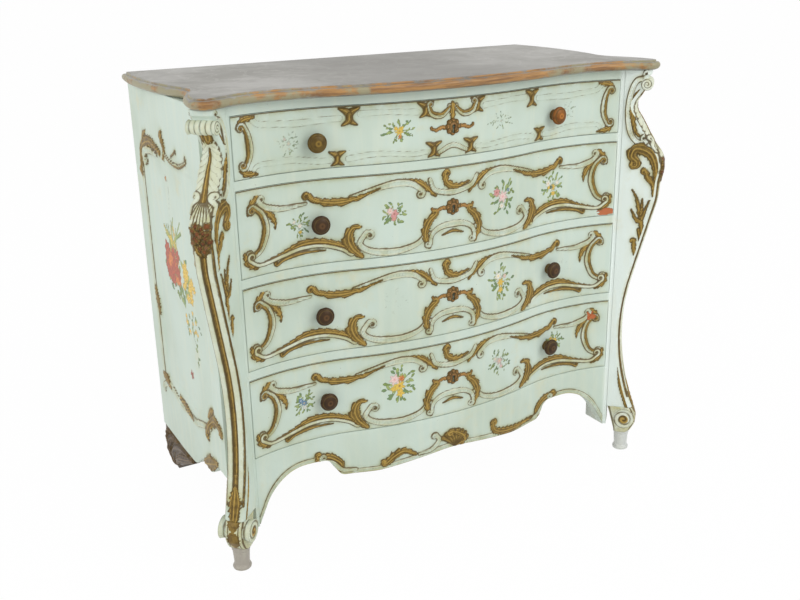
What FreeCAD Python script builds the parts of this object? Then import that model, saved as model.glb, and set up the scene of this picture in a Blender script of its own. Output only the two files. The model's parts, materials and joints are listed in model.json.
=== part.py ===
import FreeCAD, Part
import math
import os
import Sketcher
from FreeCAD import Placement, Rotation, Vector

# A serpentine-fronted chest of four drawers with carved console pilasters across its corners.
# Millimetres, +Z up, front towards -Y.  The origin is the middle of its footprint, on the floor.
# Lengths in depth are counted from the front line, the line through the two front posts' faces.

doc = FreeCAD.newDocument("serpentine_chest")
sheet = doc.addObject("Spreadsheet::Sheet", "dims")

DIMENSIONS = (
    ("overall_height", 900, "floor to the top surface"),
    ("front_line", -198.25, "where the front posts' faces lie, measured from the origin"),
    ("case_depth", 455, "front line to the back of the case"),
    ("side_face", 480, "middle of the chest to the outside of a side panel"),
    ("side_thickness", 18, "side panels"),
    ("half_opening", 428, "middle of the chest to a front post"),
    ("post_depth", 60, "front posts, front to back"),
    ("post_foot", 66, "floor to the lower end of a front post"),
    ("rail_depth", 70, "rails between the drawers, front to back"),
    ("rail_thickness", 17, "rails between the drawers"),
    ("reveal", 1.2, "gap round each drawer front"),
    ("deep_front", 159.5, "height of the three deep drawer fronts"),
    ("shallow_front", 110, "height of the top drawer front"),
    ("lowest_drawer", 213.5, "floor to the underside of the lowest drawer front"),
    ("bow_radius", 765, "radius of the middle bow of the serpentine face"),
    ("dip_radius", 400, "radius of the hollow each side of the bow"),
    ("dip_place", 310, "middle of the chest to the middle of a hollow"),
    ("dip_depth", 18, "how far the hollows lie behind the front line"),
    ("front_thickness", 24, "drawer fronts and apron"),
    ("top_thickness", 20, "top board"),
    ("top_step", 4, "height of the raised field of the top board"),
    ("top_margin", 9, "edge of the top board to its raised field"),
    ("top_bevel", 5, "bevels along the edge of the top board"),
    ("top_overhang", 54, "front line to the front of the top, in the middle"),
    ("top_bow", 1000, "radius of the top's middle bow"),
    ("top_hollow", 420, "radius of the top's hollow next to the bow"),
    ("top_small_hollow", 190, "radius of the same hollow next to the ear"),
    ("top_hollow_front", 10, "front line to the top's edge in the hollow"),
    ("ear_radius", 27, "ear over a pilaster, round its front"),
    ("ear_flank", 200, "ear over a pilaster, along its flank"),
    ("top_half_width", 503, "middle of the chest to the side of an ear"),
    ("notch_half_width", 472, "middle of the chest to the notch behind an ear"),
    ("notch_place", 105, "front line to the notch behind an ear"),
    ("top_side_width", 499, "middle of the chest to the widest place of the top's side"),
    ("top_side_place", 330, "front line to that place"),
    ("back_overhang", 8, "back of the case to the back of the top"),
    ("corner_line", 460, "where the pilasters' middle plane crosses the front line"),
    ("pilaster_width", 40, "pilaster across its shaft"),
    ("pilaster_bevel", 7, "bevels down the front of a pilaster"),
    ("groove_top", 640, "floor to the upper end of a pilaster's groove"),
    ("groove_foot", 122, "floor to the lower end of the same groove"),
    ("groove_depth", 4, "groove down the front of a pilaster"),
    ("groove_width", 10, "the same groove across"),
    ("pilaster_seat", 15, "how far a pilaster is let in behind the corner"),
    ("pilaster_foot", 112, "floor to the lower end of a pilaster"),
    ("roll_width", 52, "scroll rolls of a pilaster, across"),
    ("neck_height", 12, "moulding between a pilaster's head and the top"),
    ("neck_reach", 40, "corner to the front of the same moulding"),
    ("foot_block_width", 44, "block of a front foot, across"),
    ("peg_radius", 18, "peg of a front foot"),
    ("peg_height", 52, "peg of a front foot"),
    ("peg_place", 20.5, "corner to the middle of the peg"),
    ("volute_radius", 23, "volutes of a front foot"),
    ("volute_span", 66, "front foot across its two volutes"),
    ("apron_top", 205, "floor to the top edge of the apron"),
    ("field_depth", 4, "sunk field of a side panel"),
    ("board_thickness", 12, "bottom board"),
    ("bearer_thickness", 7.3, "bearers under the drawer sides"),
    ("bearer_reach", 28, "how far a bearer reaches under a drawer"),
    ("guide_height", 30, "guides beside the drawer sides"),
    ("drawer_side", 12, "drawer sides and back"),
    ("drawer_depth", 425, "front line to the back of a drawer"),
    ("drawer_floor", 8, "drawer bottoms"),
    ("floor_rise", 8, "underside of a drawer front to its bottom board"),
    ("groove", 6, "depth of the grooves that hold a drawer bottom"),
    ("side_drop", 24, "how far a drawer side stops below the top of its front"),
    ("side_shoulder", 25, "front line to a drawer side's shoulder, behind its dovetails"),
    ("back_drop", 6, "how far a drawer back stops below its sides"),
    ("running_gap", 0.3, "between moving pieces"),
    ("tail_lap", 15, "length of the lapped dovetails at the front"),
    ("tail_height", 24, "dovetail at its root"),
    ("tail_flare", 3, "how much a dovetail widens on each side"),
    ("tail_pitch", 40, "spacing of the dovetails"),
    ("first_tail", 22, "underside of a drawer front to its first dovetail"),
    ("knob_place", 267, "middle of the chest to a knob"),
    ("knob_radius", 18, "radius of the knobs"),
    ("knob_neck", 11, "radius of a knob's neck"),
    ("knob_neck_length", 10, "length of a knob's neck"),
    ("knob_reach", 25, "how far a knob stands off the drawer front"),
    ("spigot_radius", 4, "wooden spigot of a knob"),
    ("spigot_length", 18, "wooden spigot of a knob"),
    ("knob_clearance", 0.22, "knob's neck to the face, where its spigot enters the hollow"),
    ("escutcheon_front", -31, "front line to the front of an escutcheon"),
    ("escutcheon_thickness", 9, "blank of an escutcheon, before it is fitted to the bow"),
    ("lock_width", 60, "lock case"),
    ("lock_front", -12, "front line to the front of a lock case"),
    ("lock_drop", 18, "middle of a drawer front to the lower edge of its lock case"),
    ("lock_thickness", 11, "lock case"),
    ("bolt_width", 20, "lock bolt"),
    ("bolt_thickness", 5, "lock bolt"),
    ("bolt_length", 32, "lock bolt"),
    ("bolt_throw", 8, "travel of a lock bolt"),
    ("bolt_inset", 3, "front of a lock case to its bolt"),
    ("bolt_slack", 1, "round a lock bolt in its mortise and below it in its case"),
    ("keyhole_rise", 2, "middle of a drawer front to its keyhole"),
    ("keyhole_length", 30, "keyholes, from a lock case to in front of its escutcheon"),
    ("keyhole_radius", 3.6, "round part of a keyhole"),
    ("keyhole_slot", 4.6, "width of a keyhole's slot"),
    ("keyhole_drop", 12, "length of a keyhole's slot below its centre"),
    ("back_foot_height", 112, "back feet"),
    ("back_foot_width", 70, "back feet, from their outer faces inwards"),
    ("back_foot_toe", 51, "back feet where they stand, from their inner faces outwards"),
    ("back_foot_bulge", 55, "floor to the widest place of a back foot"),
    ("back_foot_proud", 4, "back feet beyond the side panels"),
    ("back_thickness", 12, "back panel"),
    ("back_post_depth", 50, "back posts, front to back"),
    ("tenon", 12, "length of the rails' tenons"),
    ("tenon_front", 16, "front line to the rails' tenons"),
    ("tenon_width", 28, "rails' tenons, front to back"),
    ("stop_place", 310, "middle of the chest to the middle of a drawer stop"),
    ("stop_width", 30, "drawer stops"),
    ("stop_depth", 14, "drawer stops, front to back"),
    ("stop_height", 6, "drawer stops"),
    ("block_section", 24, "glue blocks, both ways"),
    ("block_length", 40, "glue blocks"),
    ("block_bite", 8, "how far a glue block's blank reaches into the apron that it is fitted to"),
    ("guide_gap", 0.5, "front posts' line to the guides beside the drawer sides"),
)

for row, (alias, value, meaning) in enumerate(DIMENSIONS, 1):
    sheet.set(f"A{row}", meaning)
    sheet.set(f"B{row}", str(value))
    sheet.setAlias(f"B{row}", alias)
doc.recompute()

sub_parts = []


def number(rule):
    """The present value of a rule over the sheet."""
    return float(sheet.evalExpression(rule))


def keep(piece, label):
    """Names a finished piece after its node."""
    piece.Label = label
    sub_parts.append(piece)
    return piece


def bind(item, rules):
    """Binds properties of an object to rules over the sheet."""
    for path, rule in rules.items():
        item.setExpression(path, rule)


def mirrored(side, low, high):
    """A range of X on the right (side = 1), or the same range on the left (side = -1)."""
    if side > 0:
        return low, high
    return f"-({high})", f"-({low})"


def board(name, x, y, z):
    """A rectangular board between pairs of rules, its Y counted from the front line."""
    box = doc.addObject("Part::Box", name)
    bind(box, {
        "Length": f"({x[1]}) - ({x[0]})",
        "Width": f"({y[1]}) - ({y[0]})",
        "Height": f"({z[1]}) - ({z[0]})",
        "Placement.Base.x": x[0],
        "Placement.Base.y": f"dims.front_line + ({y[0]})",
        "Placement.Base.z": z[0],
    })
    return box


def rod(name, radius, length, x, y, z, axis=Vector(0, -1, 0)):
    """A round bar that starts at a point and runs along an axis."""
    cylinder = doc.addObject("Part::Cylinder", name)
    cylinder.Placement = Placement(Vector(), Rotation(Vector(0, 0, 1), axis))
    bind(cylinder, {
        "Radius": radius,
        "Height": length,
        "Placement.Base.x": x,
        "Placement.Base.y": f"dims.front_line + ({y})",
        "Placement.Base.z": z,
    })
    return cylinder


def cut(name, base, tools):
    """The base with every tool taken out of it."""
    tool = tools[0]
    if len(tools) > 1:
        tool = doc.addObject("Part::Compound", name + "_tools")
        tool.Links = tools
    result = doc.addObject("Part::Cut", name)
    result.Base = base
    result.Tool = tool
    return result


def fuse(name, shapes):
    """One solid made of pieces that touch or overlap."""
    result = doc.addObject("Part::MultiFuse", name)
    result.Shapes = shapes
    result.Refine = True
    return result


def group(name, shapes):
    """Separate solids that share one node."""
    result = doc.addObject("Part::Compound", name)
    result.Links = shapes
    return result


def new_body(name, x="0", y="0", z="0", turn=0):
    """An empty body at a place, turned about the vertical."""
    body = doc.addObject("PartDesign::Body", name)
    body.Placement = Placement(Vector(), Rotation(Vector(0, 0, 1), turn))
    bind(body, {
        "Placement.Base.x": x,
        "Placement.Base.y": f"dims.front_line + ({y})",
        "Placement.Base.z": z,
    })
    return body


def sketch_on(body, name, role):
    """A sketch on one of the body's own origin planes."""
    sketch = body.newObject("Sketcher::SketchObject", name)
    planes = [item for item in body.Origin.OriginFeatures if item.Role == role]
    sketch.AttachmentSupport = [(planes[0], "")]
    sketch.MapMode = "FlatFace"
    return sketch


def outline(sketch, *runs):
    """Edges of a closed outline: a run of two points is straight, of three an arc, a longer one a curve."""
    for run in runs:
        points = [Vector(u, v, 0) for u, v in run]
        if len(points) == 2:
            sketch.addGeometry(Part.LineSegment(*points), False)
        elif len(points) == 3:
            sketch.addGeometry(Part.Arc(*points), False)
        else:
            curve = Part.BSplineCurve()
            curve.interpolate(points)
            sketch.addGeometry(curve, False)


def rounded_path(corners, offset=0):
    """Straight runs joined by tangent arcs.  A corner is (u, v, radius); the offset moves the path left."""
    places = [Vector(u, v, 0) for u, v, radius in corners]
    headings = [(after - before).normalize() for before, after in zip(places, places[1:])]
    lefts = [Vector(-heading.y, heading.x, 0) for heading in headings]
    runs = []
    here = places[0] + lefts[0] * offset
    for index, (u, v, radius) in enumerate(corners[1:-1], 1):
        into, out = headings[index - 1], headings[index]
        corner = places[index]
        if radius == 0:
            runs.append(((here.x, here.y), (corner.x, corner.y)))
            here = corner
            continue
        side = 1 if into.cross(out).z > 0 else -1
        reach = radius * math.tan(into.getAngle(out) / 2)
        centre = corner - into * reach + lefts[index - 1] * side * radius
        first = corner - into * reach + lefts[index - 1] * offset
        middle = centre + (corner - centre).normalize() * (radius - side * offset)
        last = corner + out * reach + lefts[index] * offset
        runs.append(((here.x, here.y), (first.x, first.y)))
        runs.append(tuple((point.x, point.y) for point in (first, middle, last)))
        here = last
    end = places[-1] + lefts[-1] * offset
    runs.append(((here.x, here.y), (end.x, end.y)))
    return runs


def mirrored_path(half):
    """A path whose corners run from one end to the middle, carried on to the mirrored end."""
    return half + tuple((-u, v, radius) for u, v, radius in reversed(half[:-1]))


def circle_chain(circles, start, end):
    """Arcs that run from circle to circle through the points where neighbours touch."""
    stations = [start]
    for (centre, radius), (other, other_radius) in zip(circles, circles[1:]):
        span = other - centre
        if span.Length > max(radius, other_radius):
            stations.append(centre + span * (radius / (radius + other_radius)))
        elif radius > other_radius:
            stations.append(centre + span.normalize() * radius)
        else:
            stations.append(other - span.normalize() * other_radius)
    stations.append(end)
    runs = []
    for (centre, radius), first, last in zip(circles, stations, stations[1:]):
        middle = centre + ((first + last) * 0.5 - centre).normalize() * radius
        runs.append(tuple((point.x, point.y) for point in (first, middle, last)))
    return runs


def polygon(sketch, corners):
    """A closed outline of straight edges."""
    outline(sketch, *zip(corners, corners[1:] + corners[:1]))


def rectangle(sketch, u, v):
    """A rectangle between two pairs of rules, held by its four distances to the origin."""
    left, right = (number(rule) for rule in u)
    low, high = (number(rule) for rule in v)
    corners = [Vector(left, low, 0), Vector(right, low, 0), Vector(right, high, 0), Vector(left, high, 0)]
    for start, end in zip(corners, corners[1:] + corners[:1]):
        sketch.addGeometry(Part.LineSegment(start, end), False)
    first = sketch.GeometryCount - 4
    for edge in range(4):
        after = (edge + 1) % 4
        sketch.addConstraint(Sketcher.Constraint("Coincident", first + edge, 2, first + after, 1))
    for edge, kind in ((0, "Horizontal"), (1, "Vertical"), (2, "Horizontal"), (3, "Vertical")):
        sketch.addConstraint(Sketcher.Constraint(kind, first + edge))
    holds = (("DistanceX", 1, left, u[0]), ("DistanceY", 1, low, v[0]),
             ("DistanceX", 3, right, u[1]), ("DistanceY", 3, high, v[1]))
    for kind, corner, value, rule in holds:
        edge = first if corner == 1 else first + 2
        index = sketch.addConstraint(Sketcher.Constraint(kind, -1, 1, edge, 1, value))
        sketch.setExpression(f"Constraints[{index}]", rule)


def pad(body, name, sketch, length, reverse=False, both=False):
    """A pad of a sketch, bound to a length."""
    feature = body.newObject("PartDesign::Pad", name)
    feature.Profile = sketch
    feature.Reversed = reverse
    feature.Midplane = both
    feature.setExpression("Length", length)
    return feature


def pocket(body, name, sketch, length, reverse=False, both=False):
    """A pocket of a sketch, bound to a depth."""
    feature = body.newObject("PartDesign::Pocket", name)
    feature.Profile = sketch
    feature.Reversed = reverse
    feature.Midplane = both
    feature.setExpression("Length", length)
    return feature


# The serpentine face: a bow in the middle that runs over into a hollow on each side.

def serpentine(sketch, half_width, depth):
    """Adds the face's three arcs, moved back by a depth, and returns left, bow and right."""
    width = number(half_width)
    bow = number(f"dims.bow_radius - ({depth})")
    dip = number(f"dims.dip_radius + ({depth})")
    place = number("dims.dip_place")
    dip_centre = number("dims.dip_depth - dims.dip_radius")
    bow_centre = dip_centre + math.sqrt((bow + dip) ** 2 - place ** 2)
    lean = math.atan2(bow_centre - dip_centre, place)
    end = math.acos((width - place) / dip)
    up = Vector(0, 0, 1)
    arcs = (
        (Vector(-place, dip_centre, 0), dip, lean, math.pi - end),
        (Vector(0, bow_centre, 0), bow, math.pi + lean, 2 * math.pi - lean),
        (Vector(place, dip_centre, 0), dip, end, math.pi - lean),
    )
    ids = [sketch.addGeometry(Part.ArcOfCircle(Part.Circle(centre, up, radius), start, stop), False)
           for centre, radius, start, stop in arcs]
    left, middle, right = ids
    sketch.addConstraint(Sketcher.Constraint("Tangent", left, 1, middle, 1))
    sketch.addConstraint(Sketcher.Constraint("Tangent", middle, 2, right, 2))
    held = (
        (Sketcher.Constraint("Radius", left, dip), f"dims.dip_radius + ({depth})"),
        (Sketcher.Constraint("Radius", middle, bow), f"dims.bow_radius - ({depth})"),
        (Sketcher.Constraint("Radius", right, dip), f"dims.dip_radius + ({depth})"),
        (Sketcher.Constraint("DistanceX", left, 3, -1, 1, place), "dims.dip_place"),
        (Sketcher.Constraint("DistanceX", -1, 1, right, 3, place), "dims.dip_place"),
        (Sketcher.Constraint("DistanceY", left, 3, -1, 1, -dip_centre), "dims.dip_radius - dims.dip_depth"),
        (Sketcher.Constraint("DistanceX", left, 2, -1, 1, width), half_width),
        (Sketcher.Constraint("DistanceX", -1, 1, right, 1, width), half_width),
    )
    for constraint, rule in held:
        index = sketch.addConstraint(constraint)
        sketch.setExpression(f"Constraints[{index}]", rule)
    sketch.addConstraint(Sketcher.Constraint("PointOnObject", middle, 3, -2))
    return ids


def face_at(x, depth=0):
    """Y of the serpentine face at an X, counted from the front line."""
    bow = number("dims.bow_radius") - depth
    dip = number("dims.dip_radius") + depth
    place = number("dims.dip_place")
    dip_centre = number("dims.dip_depth - dims.dip_radius")
    bow_centre = dip_centre + math.sqrt((bow + dip) ** 2 - place ** 2)
    if abs(x) < place * bow / (bow + dip):
        return bow_centre - math.sqrt(bow ** 2 - x ** 2)
    return dip_centre + math.sqrt(dip ** 2 - (abs(x) - place) ** 2)


def plan_sketch(name, half_width, z):
    """A free sketch in plan, its origin on the front line at a height."""
    sketch = doc.addObject("Sketcher::SketchObject", name)
    bind(sketch, {"Placement.Base.y": "dims.front_line", "Placement.Base.z": z})
    return sketch


def raised(name, sketch, height):
    """A plan sketch drawn up to a height."""
    solid = doc.addObject("Part::Extrusion", name)
    solid.Base = sketch
    solid.DirMode = "Custom"
    solid.Dir = Vector(0, 0, 1)
    solid.Solid = True
    solid.setExpression("LengthFwd", height)
    return solid


def join(sketch, edge, end, other, other_end):
    """A straight edge from one end of an arc to an end of another."""
    start = sketch.getPoint(edge, end)
    stop = sketch.getPoint(other, other_end)
    line = sketch.addGeometry(Part.LineSegment(start, stop), False)
    sketch.addConstraint(Sketcher.Constraint("Coincident", edge, end, line, 1))
    sketch.addConstraint(Sketcher.Constraint("Coincident", line, 2, other, other_end))
    return line


def serpentine_wall(name, half_width, z, height, thickness):
    """A wall of even thickness behind the serpentine face."""
    sketch = plan_sketch(name + "_plan", half_width, z)
    front = serpentine(sketch, half_width, "0")
    back = serpentine(sketch, half_width, thickness)
    join(sketch, front[0], 2, back[0], 2)
    join(sketch, front[2], 1, back[2], 1)
    return raised(name, sketch, height)


def serpentine_board(name, half_width, z, height, front_depth, back):
    """A flat board with a serpentine front edge and a straight back edge."""
    sketch = plan_sketch(name + "_plan", half_width, z)
    left, middle, right = serpentine(sketch, half_width, front_depth)
    width = number(half_width)
    back_y = number(back)
    straight = Part.LineSegment(Vector(-width, back_y, 0), Vector(width, back_y, 0))
    back_edge = sketch.addGeometry(straight, False)
    for line in (join(sketch, left, 2, back_edge, 1), join(sketch, right, 1, back_edge, 2)):
        sketch.addConstraint(Sketcher.Constraint("Vertical", line))
    index = sketch.addConstraint(Sketcher.Constraint("DistanceY", -1, 1, back_edge, 1, back_y))
    sketch.setExpression(f"Constraints[{index}]", back)
    sketch.addConstraint(Sketcher.Constraint("Horizontal", back_edge))
    return raised(name, sketch, height)


# Heights of the four drawers, counted from the top one.

DRAWERS = (1, 2, 3, 4)


def front_height(drawer):
    return "dims.shallow_front" if drawer == 1 else "dims.deep_front"


def drawer_base(drawer):
    """Rule for the height of a drawer front's lower edge."""
    return f"dims.lowest_drawer + {4 - drawer} * (dims.deep_front + dims.rail_thickness + 2 * dims.reveal)"


# Top board: a moulded edge that follows the front, with an ear over each pilaster.

def top_outline():
    """Arcs of the right half of the top's edge, from the back corner round the ear to the middle."""
    bow = number("dims.top_bow")
    overhang = number("dims.top_overhang")
    hollow = number("dims.top_hollow")
    small = number("dims.top_small_hollow")
    ear = number("dims.ear_radius")
    flank = number("dims.ear_flank")
    back = number("dims.case_depth + dims.back_overhang")
    hollow_front = number("dims.top_hollow_front")
    sink = overhang - hollow_front
    place = math.sqrt((bow + hollow) ** 2 - (bow + hollow - sink) ** 2)
    bow_centre = Vector(0, bow - overhang, 0)
    hollow_centre = Vector(place, -hollow_front - hollow, 0)
    small_centre = Vector(place, -hollow_front - small, 0)
    ear_x = number("dims.top_half_width") - ear
    ear_y = small_centre.y + math.sqrt((ear + small) ** 2 - (ear_x - place) ** 2)
    ear_centre = Vector(ear_x, ear_y, 0)
    flank_centre = Vector(ear_x + ear - flank, ear_y, 0)
    notch_x = number("dims.notch_half_width")
    notch_y = number("dims.notch_place")
    across = notch_x - flank_centre.x
    along = notch_y - ear_y
    notch = (across ** 2 + along ** 2 - flank ** 2) / (2 * (flank - across))
    notch_centre = Vector(notch_x + notch, notch_y, 0)
    side_x = number("dims.top_side_width")
    side_y = number("dims.top_side_place")
    across = notch_centre.x - side_x
    along = notch_y - side_y
    side = (across ** 2 + along ** 2 - notch ** 2) / (2 * (notch - across))
    side_centre = Vector(side_x - side, side_y, 0)
    corner = Vector(side_centre.x + math.sqrt(side ** 2 - (back - side_y) ** 2), back, 0)
    circles = ((side_centre, side), (notch_centre, notch), (flank_centre, flank), (ear_centre, ear),
               (small_centre, small), (hollow_centre, hollow), (bow_centre, bow))
    return circle_chain(circles, corner, Vector(0, -overhang, 0))


def top_board():
    edge = plan_sketch("top_edge", "0", "dims.overall_height - dims.top_thickness")
    right = top_outline()
    left = [tuple((-x, y) for x, y in reversed(run)) for run in reversed(right)]
    corner = right[0][0]
    outline(edge, *right, *left, ((-corner[0], corner[1]), corner))
    slab = raised("top_slab", edge, "dims.top_thickness - dims.top_step")
    field_edge = doc.addObject("Part::Offset2D", "top_field_edge")
    field_edge.Source = edge
    field_edge.setExpression("Value", "-dims.top_margin")
    field = raised("top_field", field_edge, "dims.top_thickness")
    doc.recompute()
    bevel = number("dims.top_bevel")
    moulded = doc.addObject("Part::Chamfer", "top_moulded")
    moulded.Base = slab
    moulded.Edges = [(index, bevel, bevel) for index, item in enumerate(slab.Shape.Edges, 1)
                     if item.BoundBox.ZLength < 1e-3 and item.Length < 2 * corner[0] - 1]
    keep(fuse("top_board", [moulded, field]), "top_board")


# Front posts: five-sided, with the corner cut away where the pilaster is let in.

def corner_point(side, out, across):
    """A point in plan from a pilaster's middle plane: out from the corner, and across towards the side."""
    x = number("dims.corner_line") + (out + across) / math.sqrt(2)
    return side * x, (across - out) / math.sqrt(2)


def front_post(side, name, tools):
    half = number("dims.pilaster_width") / 2
    seat = -number("dims.pilaster_seat")
    opening = number("dims.half_opening")
    inside = number("dims.side_face - dims.side_thickness")
    corner = number("dims.corner_line")
    depth = number("dims.post_depth")
    reach = half * math.sqrt(2)
    body = new_body(name + "_blank", z="dims.post_foot")
    sketch = sketch_on(body, name + "_plan", "XY_Plane")
    corners = [(side * opening, 0), (side * (corner - reach), 0), corner_point(side, seat, -half),
               corner_point(side, seat, half), (side * inside, corner + reach - inside),
               (side * inside, depth), (side * opening, depth)]
    polygon(sketch, corners)
    pad(body, name + "_pad", sketch, "dims.overall_height - dims.top_thickness - dims.post_foot")
    return keep(cut(name, body, tools), name)


# Pilasters: an S-shaped console seen from the side, out at the head, out again at the knee.

# Its front is out from the corner, height and radius; its rolls have the same three numbers.

PILASTER_FRONT = ((33, 880, 0), (33, 850, 15), (2, 806, 28), (86, 688, 60), (-18, 275, 520), (42, 112, 0))
PILASTER_ROLLS = ((32, 850, 13), (14, 702, 18))


def pilaster(side, name):
    seat = -number("dims.pilaster_seat")
    foot = number("dims.pilaster_foot")
    head = number("dims.overall_height - dims.top_thickness")
    turn = -45 if side > 0 else -135
    body = new_body(name, x=f"{side} * dims.corner_line", turn=turn)
    sketch = sketch_on(body, name + "_profile", "XZ_Plane")
    front = rounded_path(PILASTER_FRONT)
    start = front[0][0]
    end = front[-1][1]
    outline(sketch, *front, (end, (seat, foot)), ((seat, foot), (seat, head)), ((seat, head), start))
    shaft = pad(body, name + "_shaft", sketch, "dims.pilaster_width", both=True)
    doc.recompute()
    half = number("dims.pilaster_width / 2")
    front_edges = [f"Edge{index}" for index, item in enumerate(shaft.Shape.Edges, 1)
                   if abs(abs(item.BoundBox.Center.y) - half) < 0.1 and item.BoundBox.YLength < 0.1
                   and item.BoundBox.XMin > 1 and item.BoundBox.ZLength > 1]
    eased = body.newObject("PartDesign::Chamfer", name + "_eased")
    eased.Base = (shaft, front_edges)
    eased.setExpression("Size", "dims.pilaster_bevel")
    high = number("dims.groove_top")
    low = number("dims.groove_foot")
    knee, hollow, toe = PILASTER_FRONT[3:]
    upper = knee[0] + (hollow[0] - knee[0]) * (knee[1] - high) / (knee[1] - hollow[1])
    lower = hollow[0] + (toe[0] - hollow[0]) * (hollow[1] - low) / (hollow[1] - toe[1])
    bed = ((upper, high, 0), hollow, (lower, low, 0))
    depth = number("dims.groove_depth")
    deep = rounded_path(bed, -depth)
    proud = rounded_path(bed, 2 * depth)
    back_run = [tuple(reversed(run)) for run in reversed(proud)]
    groove = sketch_on(body, name + "_groove_profile", "XZ_Plane")
    outline(groove, *deep, (deep[-1][-1], back_run[0][0]), *back_run, (back_run[-1][-1], deep[0][0]))
    pocket(body, name + "_groove", groove, "dims.groove_width", both=True)
    neck = sketch_on(body, name + "_neck_profile", "XZ_Plane")
    under_top = "dims.overall_height - dims.top_thickness"
    rectangle(neck, ("0", "dims.neck_reach"), (f"{under_top} - dims.neck_height", under_top))
    pad(body, name + "_neck", neck, "dims.pilaster_width", both=True)
    for out, height, radius in PILASTER_ROLLS:
        roll = sketch_on(body, f"{name}_roll_{height}_profile", "XZ_Plane")
        roll.addGeometry(Part.Circle(Vector(out, height, 0), Vector(0, 0, 1), radius), False)
        pad(body, f"{name}_roll_{height}", roll, "dims.roll_width", both=True)
    return keep(body, name)


# Front feet: two volutes against a carved block, over a turned peg.

FOOT_TOE = ((42, 112, 0), (53, 90, 12), (50, 70, 12), (39, 52, 0), (2, 52, 0))

def front_foot(side, name):
    body = new_body(name, x=f"{side} * dims.corner_line", turn=-45 if side > 0 else -135)
    foot = number("dims.pilaster_foot")
    peg = number("dims.peg_height")
    seat = -number("dims.pilaster_seat")
    block = sketch_on(body, name + "_block_profile", "XZ_Plane")
    toe = FOOT_TOE[0][0]
    heel = FOOT_TOE[-1][0]
    outline(block, *rounded_path(FOOT_TOE), ((heel, peg), (seat, foot)), ((seat, foot), (toe, foot)))
    pad(body, name + "_block", block, "dims.foot_block_width", both=True)
    volute = sketch_on(body, name + "_volute_profile", "XZ_Plane")
    radius = number("dims.volute_radius")
    centre = Vector(number("dims.peg_place") + 5, foot - radius - 2, 0)
    volute.addGeometry(Part.Circle(centre, Vector(0, 0, 1), radius), False)
    pad(body, name + "_volutes", volute, "dims.volute_span", both=True)
    round_peg = sketch_on(body, name + "_peg_plan", "XY_Plane")
    place = Vector(number("dims.peg_place"), 0, 0)
    round_peg.addGeometry(Part.Circle(place, Vector(0, 0, 1), number("dims.peg_radius")), False)
    pad(body, name + "_peg", round_peg, "dims.peg_height + 2")
    return keep(body, name)


# Back feet: a bracket that slopes down from the side's lower edge to a small toe, tapered inwards below.
# Its profile is counted from the back of the case: back, height and radius.

BACK_FOOT_EDGE = ((0, 112, 0), (6, 58, 25), (-5, 24, 30), (-5, 0, 0), (-27, 0, 0), (-42, 16, 18),
                  (-215, 102, 0), (-215, 112, 0), (0, 112, 0))


def back_foot(side, name):
    body = new_body(name, x=f"{side} * (dims.side_face + dims.back_foot_proud - dims.back_foot_width)",
                    y="dims.case_depth")
    sketch = sketch_on(body, name + "_profile", "YZ_Plane")
    outline(sketch, *rounded_path(BACK_FOOT_EDGE))
    pad(body, name + "_bracket", sketch, "dims.back_foot_width", reverse=side < 0)
    taper = sketch_on(body, name + "_taper_profile", "XZ_Plane")
    width = side * number("dims.back_foot_width")
    toe = side * number("dims.back_foot_toe")
    polygon(taper, [(width, number("dims.back_foot_bulge")), (width, 0), (toe, 0)])
    pocket(body, name + "_taper", taper, "2 * dims.case_depth", both=True)
    return keep(body, name)


# Side panels: a board with a sunk field and a shaped lower edge, mitred against the pilaster.

SIDE_FIELD = ((48, 500, 0), (48, 262, 25), (150, 246, 90), (250, 212, 90), (392, 222, 30), (392, 776, 45),
              (250, 782, 80), (150, 756, 80), (48, 762, 25), (48, 500, 0))
SIDE_LOWER_EDGE = ((14, 178, 0), (70, 178, 25), (104, 148, 25), (168, 152, 25), (215, 116, 60), (305, 112, 0))


def side_panel(side, name, tools):
    thickness = "dims.side_thickness"
    body = new_body(name + "_blank", x=f"{side} * (dims.side_face - dims.side_thickness)")
    sketch = sketch_on(body, name + "_outline", "YZ_Plane")
    top = number("dims.overall_height - dims.top_thickness")
    back = number("dims.case_depth")
    front, low = SIDE_LOWER_EDGE[0][:2]
    rear, rear_low = SIDE_LOWER_EDGE[-1][:2]
    outline(sketch, *rounded_path(SIDE_LOWER_EDGE), ((rear, rear_low), (back, rear_low)),
            ((back, rear_low), (back, top)), ((back, top), (front, top)), ((front, top), (front, low)))
    pad(body, name + "_pad", sketch, thickness, reverse=side < 0)
    field = sketch_on(body, name + "_field_outline", "YZ_Plane")
    field.AttachmentOffset = Placement(Vector(0, 0, side * number(thickness)), Rotation())
    outline(field, *rounded_path(SIDE_FIELD))
    pocket(body, name + "_field", field, "dims.field_depth", reverse=side < 0)
    return keep(cut(name, body, tools), name)


# Apron: the serpentine wall cut to a scrolled lower edge with a high arch beside each leg.

APRON_EDGE = ((428, 70, 0), (378, 163, 100), (268, 160, 22), (243, 120, 18), (165, 117, 160), (0, 137, 300))


def apron():
    wall = serpentine_wall("apron_wall", "dims.half_opening", "dims.post_foot",
                           "dims.apron_top - dims.post_foot", "dims.front_thickness")
    body = new_body("apron_shape")
    sketch = sketch_on(body, "apron_outline", "XZ_Plane")
    top = number("dims.apron_top")
    end, low = APRON_EDGE[0][:2]
    outline(sketch, *rounded_path(mirrored_path(APRON_EDGE)), ((-end, low), (-end, top)),
            ((-end, top), (end, top)), ((end, top), (end, low)))
    pad(body, "apron_shape_pad", sketch, "4 * dims.front_thickness", both=True)
    result = doc.addObject("Part::MultiCommon", "front_apron")
    result.Shapes = [wall, body]
    return keep(result, "front_apron")


# Rails: serpentine in front, straight behind, tenoned into the posts and mortised for the lock bolts.

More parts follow.
